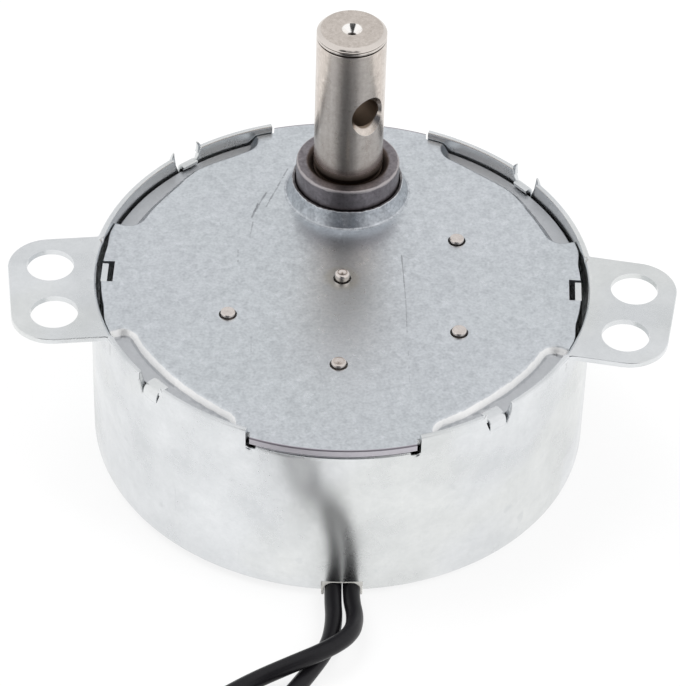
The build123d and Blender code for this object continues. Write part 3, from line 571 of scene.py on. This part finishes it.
stageSetup = {
    "floorHalf": 1500.0, "floorLevel": -0.01, "floorColour": (0.86, 0.86, 0.86), "floorRough": 0.9,
    "floorGlow": 0.80, "white": (1.0, 1.0, 1.0), "worldDiffuse": (0.75, 0.75, 0.75),
    # what metal sees besides white: direction, angle of the core and of the soft border in degrees, tone
    "roomZones": (((0.0, 0.75, 0.66), 26.0, 62.0, (0.86, 0.865, 0.87)),
                  ((0.0, -1.0, 0.08), 16.0, 44.0, (0.09, 0.10, 0.12)),
                  ((-0.20, -0.72, 0.66), 9.0, 23.5, (0.03, 0.03, 0.035)),
                  ((0.22, -0.61, 0.76), 6.0, 13.0, (0.04, 0.04, 0.04)),
                  ((-0.05, -0.65, 0.76), 6.0, 13.0, (0.04, 0.04, 0.04)),
                  ((-0.34, -0.55, 0.76), 6.0, 13.0, (0.04, 0.04, 0.04))),
    "lamps": (((-260.0, 120.0, 520.0), 420.0, 2.2), ((380.0, -120.0, 380.0), 320.0, 1.4)),
}


def makeFloor(setup):
    half, level = setup["floorHalf"], setup["floorLevel"]
    corners = [(-half, -half, level), (half, -half, level), (half, half, level), (-half, half, level)]
    floor = meshPiece("floor", corners, [(0, 1, 2, 3)])
    material, tree, paper = newMaterial("floorPaper")
    for key, value in (("Base Color", setup["floorColour"]), ("Roughness", setup["floorRough"]),
                       ("Specular IOR Level", 0.0)):
        connect(tree, value, paper.inputs[key])
    path = newNode(tree, "LightPath").outputs
    seen = math(tree, "MAXIMUM", path["Is Camera Ray"], path["Is Glossy Ray"])
    seen = math(tree, "MAXIMUM", seen, path["Is Transmission Ray"])
    seen = math(tree, "MULTIPLY", seen, setup["floorGlow"])
    glow, clear = newNode(tree, "Emission").outputs[0], newNode(tree, "BsdfTransparent").outputs[0]
    lit = newNode(tree, "MixShader", {0: seen, 1: paper.outputs[0], 2: glow}).outputs[0]
    # clear from below, so that the underside can be looked at
    below = newNode(tree, "NewGeometry").outputs["Backfacing"]
    oneSided = newNode(tree, "MixShader", {0: below, 1: lit, 2: clear}).outputs[0]
    connect(tree, oneSided, tree.nodes["Material Output"].inputs["Surface"])
    floor.data.materials.append(material)


def makeWorld(setup):
    world = bpy.data.worlds.new("studio")
    world.use_nodes = True
    bpy.context.scene.world = world
    tree = world.node_tree
    tree.nodes.clear()
    where = newNode(tree, "TexCoord").outputs["Generated"]
    path = newNode(tree, "LightPath").outputs
    room = setup["white"]
    for direction, core, border, tone in setup["roomZones"]:
        direction = tuple((np.array(direction) / np.linalg.norm(direction)).tolist())
        toward = vectors(tree, "DOT_PRODUCT", where, direction)
        room = mixColour(tree, ramp(tree, toward, cos(radians(border)), cos(radians(core))), room, tone)
    reflected = math(tree, "MAXIMUM", path["Is Glossy Ray"], path["Is Transmission Ray"])
    colour = mixColour(tree, reflected, setup["worldDiffuse"], room)
    colour = mixColour(tree, path["Is Camera Ray"], colour, setup["white"])
    newNode(tree, "OutputWorld", {0: newNode(tree, "Background", {0: colour}).outputs[0]})


def makeLamps(setup):
    for index, (where, size, power) in enumerate(setup["lamps"]):
        data = bpy.data.lights.new("softLamp%d" % index, "AREA")
        data.size = size * mm
        data.energy = power
        lamp = newPiece(data.name, data)
        lamp.location = [value * mm for value in where]
        away = np.array(where) / np.linalg.norm(where)
        lamp.rotation_euler = (float(np.arccos(away[2])), 0.0, float(np.arctan2(away[1], away[0]) + pi / 2))
        lamp.visible_glossy = False               # the metal sees the even room, not the lamps


makeFloor(stageSetup)
makeWorld(stageSetup)
makeLamps(stageSetup)
bpy.context.scene.view_settings.view_transform = "Standard"
print("stage, world and lamps set")


leads = {
    "radius": 0.85, "coilAt": (-14.5, -56.6), "turnRadius": 9.35, "pointsPerTurn": 15,
    "left": {
        "route": [(0.40, -22.7, 0.86), (0.40, -25.9, 0.86), (0.72, -29.2, 0.86), (0.30, -32.6, 0.86),
                  (-1.20, -35.8, 0.86), (-3.20, -39.4, 0.86), (-6.00, -43.4, 0.86), (-9.90, -46.4, 0.86)],
        "entry": 90.0, "travel": 662.0, "low": 0.86, "high": 2.56, "climb": (302.0, 360.0),
        "exit": (0.40, -25.0, 0.86), "length": 140.0,
    },
    "right": {
        "route": [(2.15, -22.7, 0.86), (2.15, -25.9, 0.86), (2.80, -29.1, 1.20), (2.38, -32.5, 2.40),
                  (0.15, -35.1, 2.95), (-3.30, -36.7, 2.35), (-6.90, -37.9, 1.10), (-10.30, -40.6, 0.95),
                  (-13.60, -43.6, 2.50), (-17.60, -45.9, 4.90)],
        "entry": 135.0, "travel": 607.0, "low": 4.31, "high": 6.01, "climb": (247.0, 360.0),
        "exit": (2.15, -25.0, 0.86), "length": 139.0,
    },
    "tipRadius": 0.5, "tipLength": 6.0, "strands": 7, "twist": 2.2, "groove": 0.20, "tipEnd": 0.06,
    "tipRows": 40, "tipColumns": 56, "tieRound": 0.15,
}


def coilPoint(radius, angle, height):
    x, y = leads["coilAt"]
    return x + radius * cos(angle), y + radius * sin(angle), height


# points of the wound part: a little outside the turns, since the line cuts inside its points; the height
# climbs smoothly from the lower to the upper turn
def coilPoints(lead):
    count = int(round(lead["travel"] / 360 * leads["pointsPerTurn"]))
    outside = leads["turnRadius"] * 2 / (1 + cos(pi / leads["pointsPerTurn"]))
    start, end = lead["climb"]
    for step in range(count + 1):
        travel = lead["travel"] * step / count
        share = float(eased((travel - start) / (end - start)))
        radius = outside if 0 < step < count else leads["turnRadius"]
        height = lead["low"] + share * (lead["high"] - lead["low"])
        yield coilPoint(radius, radians(lead["entry"] + travel), height)


def makeLead(side):
    points = leads[side]["route"] + list(coilPoints(leads[side]))
    curve = bpy.data.curves.new(side + "Lead", "CURVE")
    curve.dimensions = "3D"
    spline = curve.splines.new("NURBS")
    spline.points.add(len(points) - 1)
    for point, where in zip(spline.points, points):
        point.co = (*(value * mm for value in where), 1.0)
    spline.order_u = 3
    spline.use_endpoint_u = True
    spline.resolution_u = 8
    curve.bevel_depth = leads["radius"] * mm
    curve.bevel_resolution = 6
    curve.use_fill_caps = True
    return newPiece(side + "Lead", curve)


# twisted bare strands: across the tip the radius is r * (1 - groove * |cos(strands / 2 * (a + twist))|^6),
# carried along the tangent of the coil, with a rounded end
def makeTip(side):
    end = radians(leads[side]["entry"] + leads[side]["travel"])
    origin = np.array(coilPoint(leads["turnRadius"], end, leads[side]["high"]))
    along, sideways = np.array(((-sin(end), cos(end), 0.0), (cos(end), sin(end), 0.0)))
    upward = np.array((0.0, 0.0, 1.0))
    t = np.linspace(0, 1, leads["tipRows"])[:, None]
    a = np.linspace(0, 2 * pi, leads["tipColumns"], endpoint=False)[None, :]
    groove = np.abs(np.cos(leads["strands"] / 2 * (a + leads["twist"] * pi * t)))
    nose = np.clip((t - 1 + leads["tipEnd"]) / leads["tipEnd"], 0, 1)
    radius = leads["tipRadius"] * (1 - leads["groove"] * groove ** 6) * np.sqrt(1 - nose ** 2)
    points = origin + along * (t * leads["tipLength"])[..., None]
    points = points + (radius * np.cos(a))[..., None] * sideways + (radius * np.sin(a))[..., None] * upward
    return gridPiece(side + "LeadTip", points, 50, fill=True)


for side in ("left", "right"):
    cordPiece, tipPiece = makeLead(side), makeTip(side)
    place(cordPiece, "housing", "lead_insulation", "lead_" + side, "lead_" + side + "_coil")
    extras = [place(tipPiece, "housing", "tinned_copper", "lead_" + side + "_tip")]
    if side == "right":
        tie = roundedCopy("leadTie", "lead_tie", leads["tieRound"])
        extras.append(place(tie, "housing", "tie_plastic", "lead_tie"))
print("leads made")


can = {
    "radius": 25.0, "inner": 24.4, "height": 20.3, "sheet": 0.6, "bottomBend": 1.5,
    "earReach": 32.99, "earHalf": 7.6, "earCorner": 4.0, "earAngles": (-8.5, 188.5), "earFillet": 0.35,
    "earEase": 0.8, "rootBend": 0.9, "footBend": 0.3, "topRound": 0.27, "rimRound": 0.14,
    "holeCircle": 29.0, "holeHalfAngle": 7.05, "holeRadius": 2.35,
    "tabNotchHalf": 8.32, "tabNotchTop": 18.54, "reliefRadius": 0.5, "reliefAt": 7.85,
    "crimps": (-136.0, -51.0, 42.0, 133.0), "crimpHalf": 1.05, "crimpLow": 18.2, "crimpOpen": 0.36,
    "crimpReach": 10.0, "crimpSteps": (1.05, 1.4, 1.8), "notchStep": 0.01, "reliefSteps": 12,
    "windowOuter": 12.71, "windowInner": 4.3, "windowWide": 2.4, "windowNarrow": 1.4,
    "claws": 6, "clawFoot": 0.3, "clawHeight": 8.4, "clawHalfThick": 0.35, "clawGap": 0.34, "clawRows": 10,
    "leadsMiddle": 1.275, "saddleHalf": 2.045, "saddleHeight": 1.95, "saddleInner": -22.68,
    "saddleRound": 0.08, "columns": 900, "bottomRows": (0.0, 4.0, 9.0, 14.0, 19.0),
    "insideRows": (18.0, 12.0, 6.0, 0.0), "wallRows": (0.66, 0.33, 0.0),
}


# distance from the can's axis to the ear's outline in a direction off the ear's own axis: its straight end,
# its straight side, or the round corner between them; eased into the can's own circle
def earOutline(off):
    off = np.clip(off, 1e-4, radians(89))
    end = can["earReach"] / np.cos(off)
    side = can["earHalf"] / np.sin(off)
    cx, cy = can["earReach"] - can["earCorner"], can["earHalf"] - can["earCorner"]
    toward = cx * np.cos(off) + cy * np.sin(off)
    corner = toward + np.sqrt(np.clip(toward ** 2 - cx ** 2 - cy ** 2 + can["earCorner"] ** 2, 0, None))
    outline = np.where(end * np.sin(off) <= cy, end, np.where(side * np.cos(off) <= cx, side, corner))
    past = outline - can["radius"]
    return can["radius"] + 0.5 * (past + np.sqrt(past ** 2 + can["earFillet"] ** 2))


# how far angles lie off a direction, either way; the direction is in degrees
def awayFrom(angle, direction):
    return np.abs((angle - radians(direction) + pi) % (2 * pi) - pi)


# height of the wall's top in each direction: lower in the notches of the cover's tabs, which end in round
# reliefs, and in the V of each crimp
def wallTop(angle):
    x, y = can["radius"] * np.cos(angle), can["radius"] * np.sin(angle)
    inTab = (np.abs(x) < can["tabNotchHalf"]) & (np.abs(y) > can["radius"] / 2)
    relief = np.sqrt(np.clip(can["reliefRadius"] ** 2 - (np.abs(x) - can["reliefAt"]) ** 2, 0, None))
    top = np.where(inTab, can["tabNotchTop"] - relief, can["height"])
    for direction in can["crimps"]:
        off = awayFrom(angle, direction)
        across = can["radius"] * np.sin(off)
        opening = can["crimpLow"] + np.clip(across - can["crimpHalf"], 0, None) / can["crimpOpen"]
        top = np.where(off < radians(can["crimpReach"]), np.minimum(top, opening), top)
    return top


# directions of the can's sections: even ones, and more at the borders of the notches and crimps
def canAngles():
    radius = can["radius"]
    notch = np.degrees(np.arcsin(can["tabNotchHalf"] / radius)) + can["notchStep"] * np.array((-1, 1))
    relief = can["reliefAt"] + can["reliefRadius"] * np.linspace(-1, 1, can["reliefSteps"])
    relief = np.degrees(np.arcsin(relief / radius))
    crimp = np.degrees(np.arcsin(np.array(can["crimpSteps"]) / radius))
    even = np.linspace(0, 360, can["columns"], endpoint=False)
    extra = [middle % 360 + side * border
             for middles, borders in (((90.0, 270.0), (*notch, *relief)), (can["crimps"], crimp))
             for middle in middles for side in (-1, 1) for border in borders]
    return np.radians(np.unique(np.round((*even, *extra), 3)))


# even shares up to 1, without the first point, where the row before stands
def shares(count):
    return np.linspace(0, 1, count + 1)[1:]


# the can as one closed sheet: for each direction the section runs from the middle of the bottom round the
# outer bend, up the wall, out under the ear, round its rim, back over the ear and down the inside
def makeCan():
    outer, inner, low, sheet = can["radius"], can["inner"], can["bottomBend"], can["sheet"]
    angle = canAngles()
    top = wallTop(angle)
    under = top - sheet
    edge = np.full_like(angle, outer)
    for direction in can["earAngles"]:
        edge = np.maximum(edge, earOutline(awayFrom(angle, direction)))
    ear = eased((edge - outer) / can["earEase"])
    foot = can["footBend"] * ear
    root = can["topRound"] + (can["rootBend"] - can["topRound"]) * ear
    rim = can["rimRound"] + (can["topRound"] - can["rimRound"]) * (1 - ear)
    lowRim = rim * ear
    reach = (edge - rim - outer - foot).clip(0)
    flat = outer - low
    section = [(radius, 0.0) for radius in (*can["bottomRows"], flat)]
    section += arc((flat, low), low, -90, 0, 9)[1:]
    section += [(outer, low + (under - foot - low) * share) for share in shares(8)]
    section += arc((outer + foot, under - foot), foot, 180, 90, 5)[1:]
    section += [(outer + foot + reach * share, under) for share in shares(7)]
    section += arc((edge - lowRim, under + lowRim), lowRim, -90, 0, 4)[1:]
    section += arc((edge - rim, top - rim), rim, 0, 90, 6)
    section += [(edge - rim + (inner + root - edge + rim) * share, top) for share in shares(8)]
    section += arc((inner + root, top - root), root, 90, 180, 8)[1:]
    section += [(inner, low + (top - root - low) * share) for share in can["wallRows"]]
    section += arc((flat, low), low - sheet, 0, -90, 5)[1:]
    section += [(radius, sheet) for radius in can["insideRows"]]
    radius, height = (np.array([row[index] + 0 * angle for row in section]) for index in (0, 1))
    shell = polarPiece("caseShell", radius, height, angle, 30)
    cutters = []
    for direction in can["earAngles"]:
        for side in (-1, 1):
            a = radians(direction + side * can["holeHalfAngle"])
            at = (can["holeCircle"] * cos(a), can["holeCircle"] * sin(a))
            cutters.append(cylinderCutter(can["holeRadius"], topSpan, at))
    far, near, wide, narrow = can["windowOuter"], can["windowInner"], can["windowWide"], can["windowNarrow"]
    outline = np.array([(far, -wide), (far, wide), (near, narrow), (near, -narrow)])
    for index in range(can["claws"]):
        a = 2 * pi / can["claws"] * index
        turned = outline @ np.array(((cos(a), sin(a)), (-sin(a), cos(a))))
        cutters.append(prismCutter(turned.tolist(), bottomSpan))
    x0, x1 = can["leadsMiddle"] - can["saddleHalf"], can["leadsMiddle"] + can["saddleHalf"]
    cutters.append(blockCutter(x0, x1, -outer - 2, can["saddleInner"], (bottomSpan[0], can["saddleHeight"])))
    return cutAway(shell, cutters, 30)


# straight strips that stand up beside their windows and get narrower upwards
def makeClaws():
    rows = can["clawRows"]
    out = np.full(rows, can["windowOuter"] + can["clawGap"])
    path = np.stack((out, np.linspace(can["clawFoot"], can["clawHeight"], rows)), axis=1)
    width = np.linspace(can["windowWide"], can["windowNarrow"], rows)
    claws = [barPiece("claw", path, width, can["clawHalfThick"], 360 / can["claws"] * index, noseShare=0.02)
             for index in range(can["claws"])]
    return joined("stampedClaws", claws)


crimp = {
    "halfWidth": 0.98, "halfThick": 0.26, "strip": ((24.66, 17.95), (24.68, 18.90), (24.55, 19.30)),
    "reach": (23.1, 23.1, 23.75, 23.75), "endHeight": 19.0,      # how far in each strip's end comes
    "burrHeights": (0.2, 0.25, 0.60, 0.65), "burrAt": 1.78, "burrRadius": 24.72, "burrFoot": 19.6,
    "burrHalf": (0.34, 0.25), "burrLean": 0.30, "burrTip": 0.3, "burrRows": 12,
    "burrCurve": ((0.0, 0.2, 0.6), (0.02, 0.1, 0.2), (0.10, 0.0, 0.0)),    # out, down, share of height down
}


# each crimp is a strip pushed in from the wall over the sunken lip, with a torn corner of the wall curled up
# on both sides of it
def makeCrimps():
    strips, burrs = [], []
    wide, thick = crimp["burrHalf"]
    thin = np.linspace(1.0, crimp["burrTip"], crimp["burrRows"])
    out = crimp["burrRadius"]
    for direction, reach, tall in zip(can["crimps"], crimp["reach"], crimp["burrHeights"]):
        path = bend(*crimp["strip"], (reach, crimp["endHeight"]))
        strips.append(barPiece("strip", path, crimp["halfWidth"], crimp["halfThick"], direction))
        high = can["height"] + tall
        curve = [(out + shift, high - down - share * tall) for shift, down, share in crimp["burrCurve"]]
        path = bend((out, crimp["burrFoot"]), *curve, crimp["burrRows"])
        a = radians(direction)
        for side in (-1, 1):
            shift = side * crimp["burrAt"]
            burrs.append(barPiece("burr", path, wide * thin ** 1.5, thick * thin, direction,
                                  (-shift * sin(a), shift * cos(a)), lean=-side * crimp["burrLean"],
                                  noseShare=0.3, around=20))
    return joined("crimpStrips", strips), joined("crimpBurrs", burrs)


place(makeCan(), "housing", "can_steel", "case")
place(makeClaws(), "housing", "can_steel")
for madePiece in makeCrimps():
    place(madePiece, "housing", "can_steel")
print("can made")


cover = {
    "top": 19.5, "sheet": 0.7, "radius": 24.3, "tabRadius": 25.1, "tabHalf": 7.95, "edgeRound": 0.09,
    "spans": ((17.0, 66.5), (113.5, 163.0), (202.0, 247.5), (292.5, 338.0)),
    "recessFrom": 21.75, "recessDepth": 0.8, "slope": 0.8, "slopePower": 1.25, "corner": 1.7,
    "lipRadius": 24.13, "narrowing": 0.75, "narrowFrom": 23.0, "narrowOver": 28.0,
    "pinched": ((42.0, 0.45), (133.0, 0.55)), "pinchHalf": 7.5,
    "sideGaps": ((-2.5, 0.50), (182.5, 0.34)),      # beside the ears: direction, how far the edge is set in
    "sideHalf": 17.0, "sideEase": 7.0,
    "notches": ((0.0, 22.58), (180.0, 22.74)), "notchHalf": 1.55, "notchOffset": -0.35,
    "plainRows": (0.0, 1.5, 3.5, 6.0, 8.5, 11.0, 13.5, 16.0, 18.5, 20.0), "fineFrom": 21.2, "fineRows": 32,
    "sunkAt": 24.0, "columns": 960, "pinHole": 0.90, "bushHole": 5.3,
}
pins = {node: middleOf(node) for node in ("rotor_axle", "first_axle", "second_axle", "third_axle",
                                          "fourth_axle")}


# how far the sheet is sunk at a point, 0 to 1: the distance into the nearest recess, whose corners are round
# in plan, over the slope's width, to a power that keeps the upper edge soft and the foot crisp. A recess gets
# narrower towards the tab, with the square of the closeness; the rear ones are pinched beside their crimps
def sunkShare(radius, angle):
    share = np.zeros(np.broadcast(radius, angle).shape)
    fromTab = np.degrees(np.minimum(awayFrom(angle, 90), awayFrom(angle, -90)))
    closeness = np.clip(1 - (fromTab - cover["narrowFrom"]) / cover["narrowOver"], 0, 1)
    inner = cover["recessFrom"] + cover["narrowing"] * closeness ** 2
    for direction, amount in cover["pinched"]:
        off = awayFrom(angle, direction) / radians(cover["pinchHalf"])
        inner = inner + amount * np.exp(-off ** 2)
    for start, end in cover["spans"]:
        within = radians((end - start) / 2) - awayFrom(angle, (start + end) / 2)
        c = cover["corner"]
        qx, qy = c - (radius - inner), c - within * radius
        depth = c - np.hypot(np.maximum(qx, 0), np.maximum(qy, 0)) - np.minimum(np.maximum(qx, qy), 0)
        share = np.maximum(share, np.clip(depth / cover["slope"], 0, 1) ** cover["slopePower"])
    return share


# the cover's edge in each direction: the circle, the two tabs with straight sides, a little less in the
# recesses and beside the ears
def coverEdge(angle):
    across = np.maximum(np.abs(np.cos(angle)), 1e-6)
    edge = np.clip(cover["tabHalf"] / across, cover["radius"], cover["tabRadius"])
    edge -= (cover["radius"] - cover["lipRadius"]) * sunkShare(cover["sunkAt"], angle)
    for direction, gap in cover["sideGaps"]:
        within = radians(cover["sideHalf"]) - awayFrom(angle, direction)
        edge -= gap * eased(within / radians(cover["sideEase"]))
    return edge


# the cover as one closed sheet: rows run from the middle out over the top, round the sheared edge and back
# below; height = top - depth * share sunk
def makeCover():
    corner = np.degrees(np.arcsin(cover["tabHalf"] / np.array((cover["tabRadius"], cover["radius"]))))
    extra = [middle + side * value for middle in (90.0, 270.0) for side in (-1, 1) for value in corner]
    angle = np.concatenate((np.linspace(0, 360, cover["columns"], endpoint=False), extra))
    angle = np.radians(np.unique(np.round(angle, 3)))
    edge = coverEdge(angle)
    turn, start = cover["edgeRound"], cover["fineFrom"]
    plain = [radius + 0 * angle for radius in cover["plainRows"]]
    fine = [start + (edge - turn - start) * share for share in np.linspace(0, 1, cover["fineRows"])]
    upper, lower = np.array(plain + fine), np.array(fine[::-4] + plain[::-3] + [0 * angle])
    upperHeight, rimHeight, lowerHeight = (cover["top"] - cover["recessDepth"] * sunkShare(radius, angle)
                                           for radius in (upper, edge, lower))
    rim = arc((edge - turn, rimHeight - turn), turn, 90, 0, 5)[1:] + [(edge, rimHeight - cover["sheet"])]
    radius = np.concatenate((upper, [row[0] for row in rim], lower))
    height = np.concatenate((upperHeight, [row[1] for row in rim], lowerHeight - cover["sheet"]))
    sheet = polarPiece("coverSheet", radius, height, angle, 28)
    cutters = [cylinderCutter(cover["pinHole"], topSpan, at, 48) for at in pins.values()]
    cutters.append(cylinderCutter(cover["bushHole"], topSpan, shaftAt, 120))
    for direction, inner in cover["notches"]:
        side = cos(radians(direction))
        x0, x1 = sorted((side * inner, side * (can["radius"] + 1)))
        y0, y1 = cover["notchOffset"] - cover["notchHalf"], cover["notchOffset"] + cover["notchHalf"]
        cutters.append(blockCutter(x0, x1, y0, y1, topSpan))
    return cutAway(sheet, cutters, 28)


collar = {"footRadius": 6.15, "topRadius": 5.62, "foot": 19.5, "height": 1.7, "fillet": 0.24, "bore": 5.27,
          "sunk": 0.6, "gap": 0.02, "rimRound": 0.10, "ragged": 0.07, "raggedDepth": 0.35, "around": 240,
          "blend": ((0.12, -0.03), (0.04, 0.02)), "shoulder": (0.16, 0.5),
          "lip": ((0.12, 0.06), (0.09, 0.4), (0.0, 0.6)),      # out from the bore, down from the rim
          "waves": ((7, 0.4), (17, 1.9), (31, 0.7), (53, 2.6))}


# drawn collar of the cover: a cone with a round foot and a slightly torn upper rim, whose height wavers as a
# sum of a few sines
def makeCollar():
    foot, bore, fillet, rim = collar["foot"], collar["bore"], collar["fillet"], collar["rimRound"]
    high, low, wide = foot + collar["height"], foot - collar["sunk"], collar["footRadius"] + fillet
    shoulder, gap = collar["shoulder"], collar["gap"]
    profile = [(wide + out, foot + up) for out, up in collar["blend"]]
    profile += arc((wide, foot + fillet + gap), fillet, 268, 200, 7)
    profile += [(collar["topRadius"] + shoulder[0], high - shoulder[1])]
    profile += arc((collar["topRadius"] - gap, high - rim), rim, 10, 100, 5)
    profile += [(bore + out, high - down) for out, down in collar["lip"]]
    profile += [(bore, low), (profile[0][0], low), profile[0]]
    angle = np.linspace(0, 2 * pi, collar["around"], endpoint=False)
    waver = sum(np.sin(count * angle + phase) for count, phase in collar["waves"]) / len(collar["waves"])
    near = 1 - (high - np.array([point[1] for point in profile])) / collar["raggedDepth"]
    return turnedPiece("coverCollar", profile, shaftAt, collar["around"], 40,
                       lift=np.clip(near, 0, 1)[:, None] * waver * collar["ragged"])


tongues = {"above": 12.5, "shifts": {1: 0.46, -1: 0.31}, "round": 0.05}


# gear plate whose two tongues lean in to the cover's edge
def makeGearPlate():
    plate = roundedCopy("gearPlateSheet", "gear_plate", tongues["round"])
    points = np.zeros(len(plate.data.vertices) * 3)
    plate.data.vertices.foreach_get("co", points)
    points = points.reshape(-1, 3)
    for side, shift in tongues["shifts"].items():
        moved = (points[:, 2] > tongues["above"] * mm) & (points[:, 0] * side > 0)
        points[moved, 0] -= side * shift * mm
    plate.data.vertices.foreach_set("co", points.ravel())
    return plate


place(makeCover(), "housing", "cover_steel", "cover_plate")
place(makeCollar(), "housing", "cover_steel", material="collarSteel")
place(makeGearPlate(), "housing", "cover_steel", "gear_plate", material="can_steel")
print("cover made")


# bottom, top, shoulder and hollow of the middle pin and of the others
pinShape = {"radius": 0.73, "footEdge": 0.05, "endLength": 1.2,
            "dimple": ((0.36, 0.0), (0.26, 0.7), (0.0, 1.0)),      # radius, share of the hollow
            "rotor_axle": (0.0, 20.3, 0.26, 0.10), "others": (11.1, 19.9, 0.13, 0.03)}


# pin ends: a short cylinder with a round shoulder and a slightly hollow end face
def makePin(node, at):
    low, high, edge, hollow = pinShape.get(node, pinShape["others"])
    wide, foot = pinShape["radius"], pinShape["footEdge"]
    profile = [(0, low), (wide - foot, low), (wide, low + foot), (wide, high - pinShape["endLength"])]
    profile += arc((wide - edge, high - edge), edge, 0, 90, 7)
    profile += [(radius, high - hollow * share) for radius, share in pinShape["dimple"]]
    return turnedPiece(node.split("_")[0] + "Pin", profile, at, 64, 50)


shaft = {
    "radius": 3.5, "top": 40.0, "foot": 11.1, "journal": 2.0, "shoulder": 14.84,
    "seatRows": (15.84, 22.9, 8), "plainRows": (23.9, 38.87, 38),       # low, high and number of rows
    "relief": ((0.2, 22.95), (0.2, 23.5), (0.2, 23.51), (0.0, 23.56)),      # inward, height
    "rings": ((38.95, 39.16, 0.16), (39.36, 39.50, 0.10)),      # low, high and depth
    "ringEdge": 0.03, "ease": 0.05,
    "chamfer": ((0.0, 0.40), (0.02, 0.34), (0.34, 0.03), (0.40, 0.0)),      # inward, down from the top
    "centre": ((1.04, 0.0), (0.98, 0.04), (0.36, 0.9), (0.36, 1.9), (0.0, 1.9)),      # radius, down
    "crossRadius": 1.55, "crossHeight": 31.3, "crossDirection": -54.0, "crossReach": 8.0,
    "flareRadius": 2.35, "flareDepth": 0.75,
}


# turned shaft: journal, seat, relief above the bush, plain length, rings, chamfer and lathe centre; the cross
# hole has a flared mouth on both sides
def makeShaft():
    wide, top, foot, shoulder = shaft["radius"], shaft["top"], shaft["foot"], shaft["shoulder"]
    journal, ease, edge = shaft["journal"], shaft["ease"], shaft["ringEdge"]
    profile = [(0, foot), (journal, foot), (journal, shoulder), (wide, shoulder)]
    profile += [(wide, z) for z in np.linspace(*shaft["seatRows"])]
    profile += [(wide - inward, z) for inward, z in shaft["relief"]]
    profile += [(wide, z) for z in np.linspace(*shaft["plainRows"])]
    for low, high, depth in shaft["rings"]:
        profile += [(wide, low - ease), (wide - edge, low), (wide - depth, low + ease),
                    (wide - depth, high - ease), (wide - edge, high), (wide, high + ease)]
    profile += [(wide - inward, top - down) for inward, down in shaft["chamfer"]]
    profile += [(radius, top - down) for radius, down in shaft["centre"]]
    piece = turnedPiece("outputShaft", profile, shaftAt, 200, 25)
    flare, bore, far = shaft["flareRadius"], shaft["crossRadius"], shaft["crossReach"]
    mouth = wide - shaft["flareDepth"]
    profile = [(0, -far), (flare, -far), (flare, -wide - ease), (bore, -mouth), (bore, mouth),
               (flare, wide + ease), (flare, far), (0, far)]
    cutter = turnedPiece("cutter", profile, around=96)
    lay = Matrix.Rotation(radians(shaft["crossDirection"]), 4, "Z") @ Matrix.Rotation(pi / 2, 4, "Y")
    middle = [value * mm for value in (*shaftAt, shaft["crossHeight"])]
    cutter.data.transform(Matrix.Translation(middle) @ lay)
    return cutAway(piece, [cutter], 25)


bush = {"radius": 5.25, "bottom": 17.3, "top": 23.5, "bore": 3.55, "edge": 0.24, "rows": (19.5, 21.3, 23.21),
        "mouth": ((0.65, 0.0), (0.53, 0.05), (0.05, 0.53), (0.0, 0.73))}      # out from the bore, down


def makeBush():
    wide, bore, foot, top, edge = (bush[key] for key in ("radius", "bore", "bottom", "top", "edge"))
    profile = [(bore, foot), (wide, foot)] + [(wide, z) for z in bush["rows"]]
    profile += arc((wide - edge, top - edge), edge, 15, 90, 6)
    profile += [(bore + out, top - down) for out, down in bush["mouth"]] + [(bore, foot)]
    return turnedPiece("outputBush", profile, shaftAt, 200, 40)


for node, at in pins.items():
    place(makePin(node, at), "housing", "pin_steel", node)
place(makeShaft(), "output", "shaft_steel", "output_shaft")
place(makeBush(), "housing", "sintered_bush", "output_bush")
saddle = roundedCopy("leadSaddle", "lead_saddle", can["saddleRound"])
place(saddle, "housing", "saddle_plastic", "lead_saddle")
print("pins, shaft and bush made")
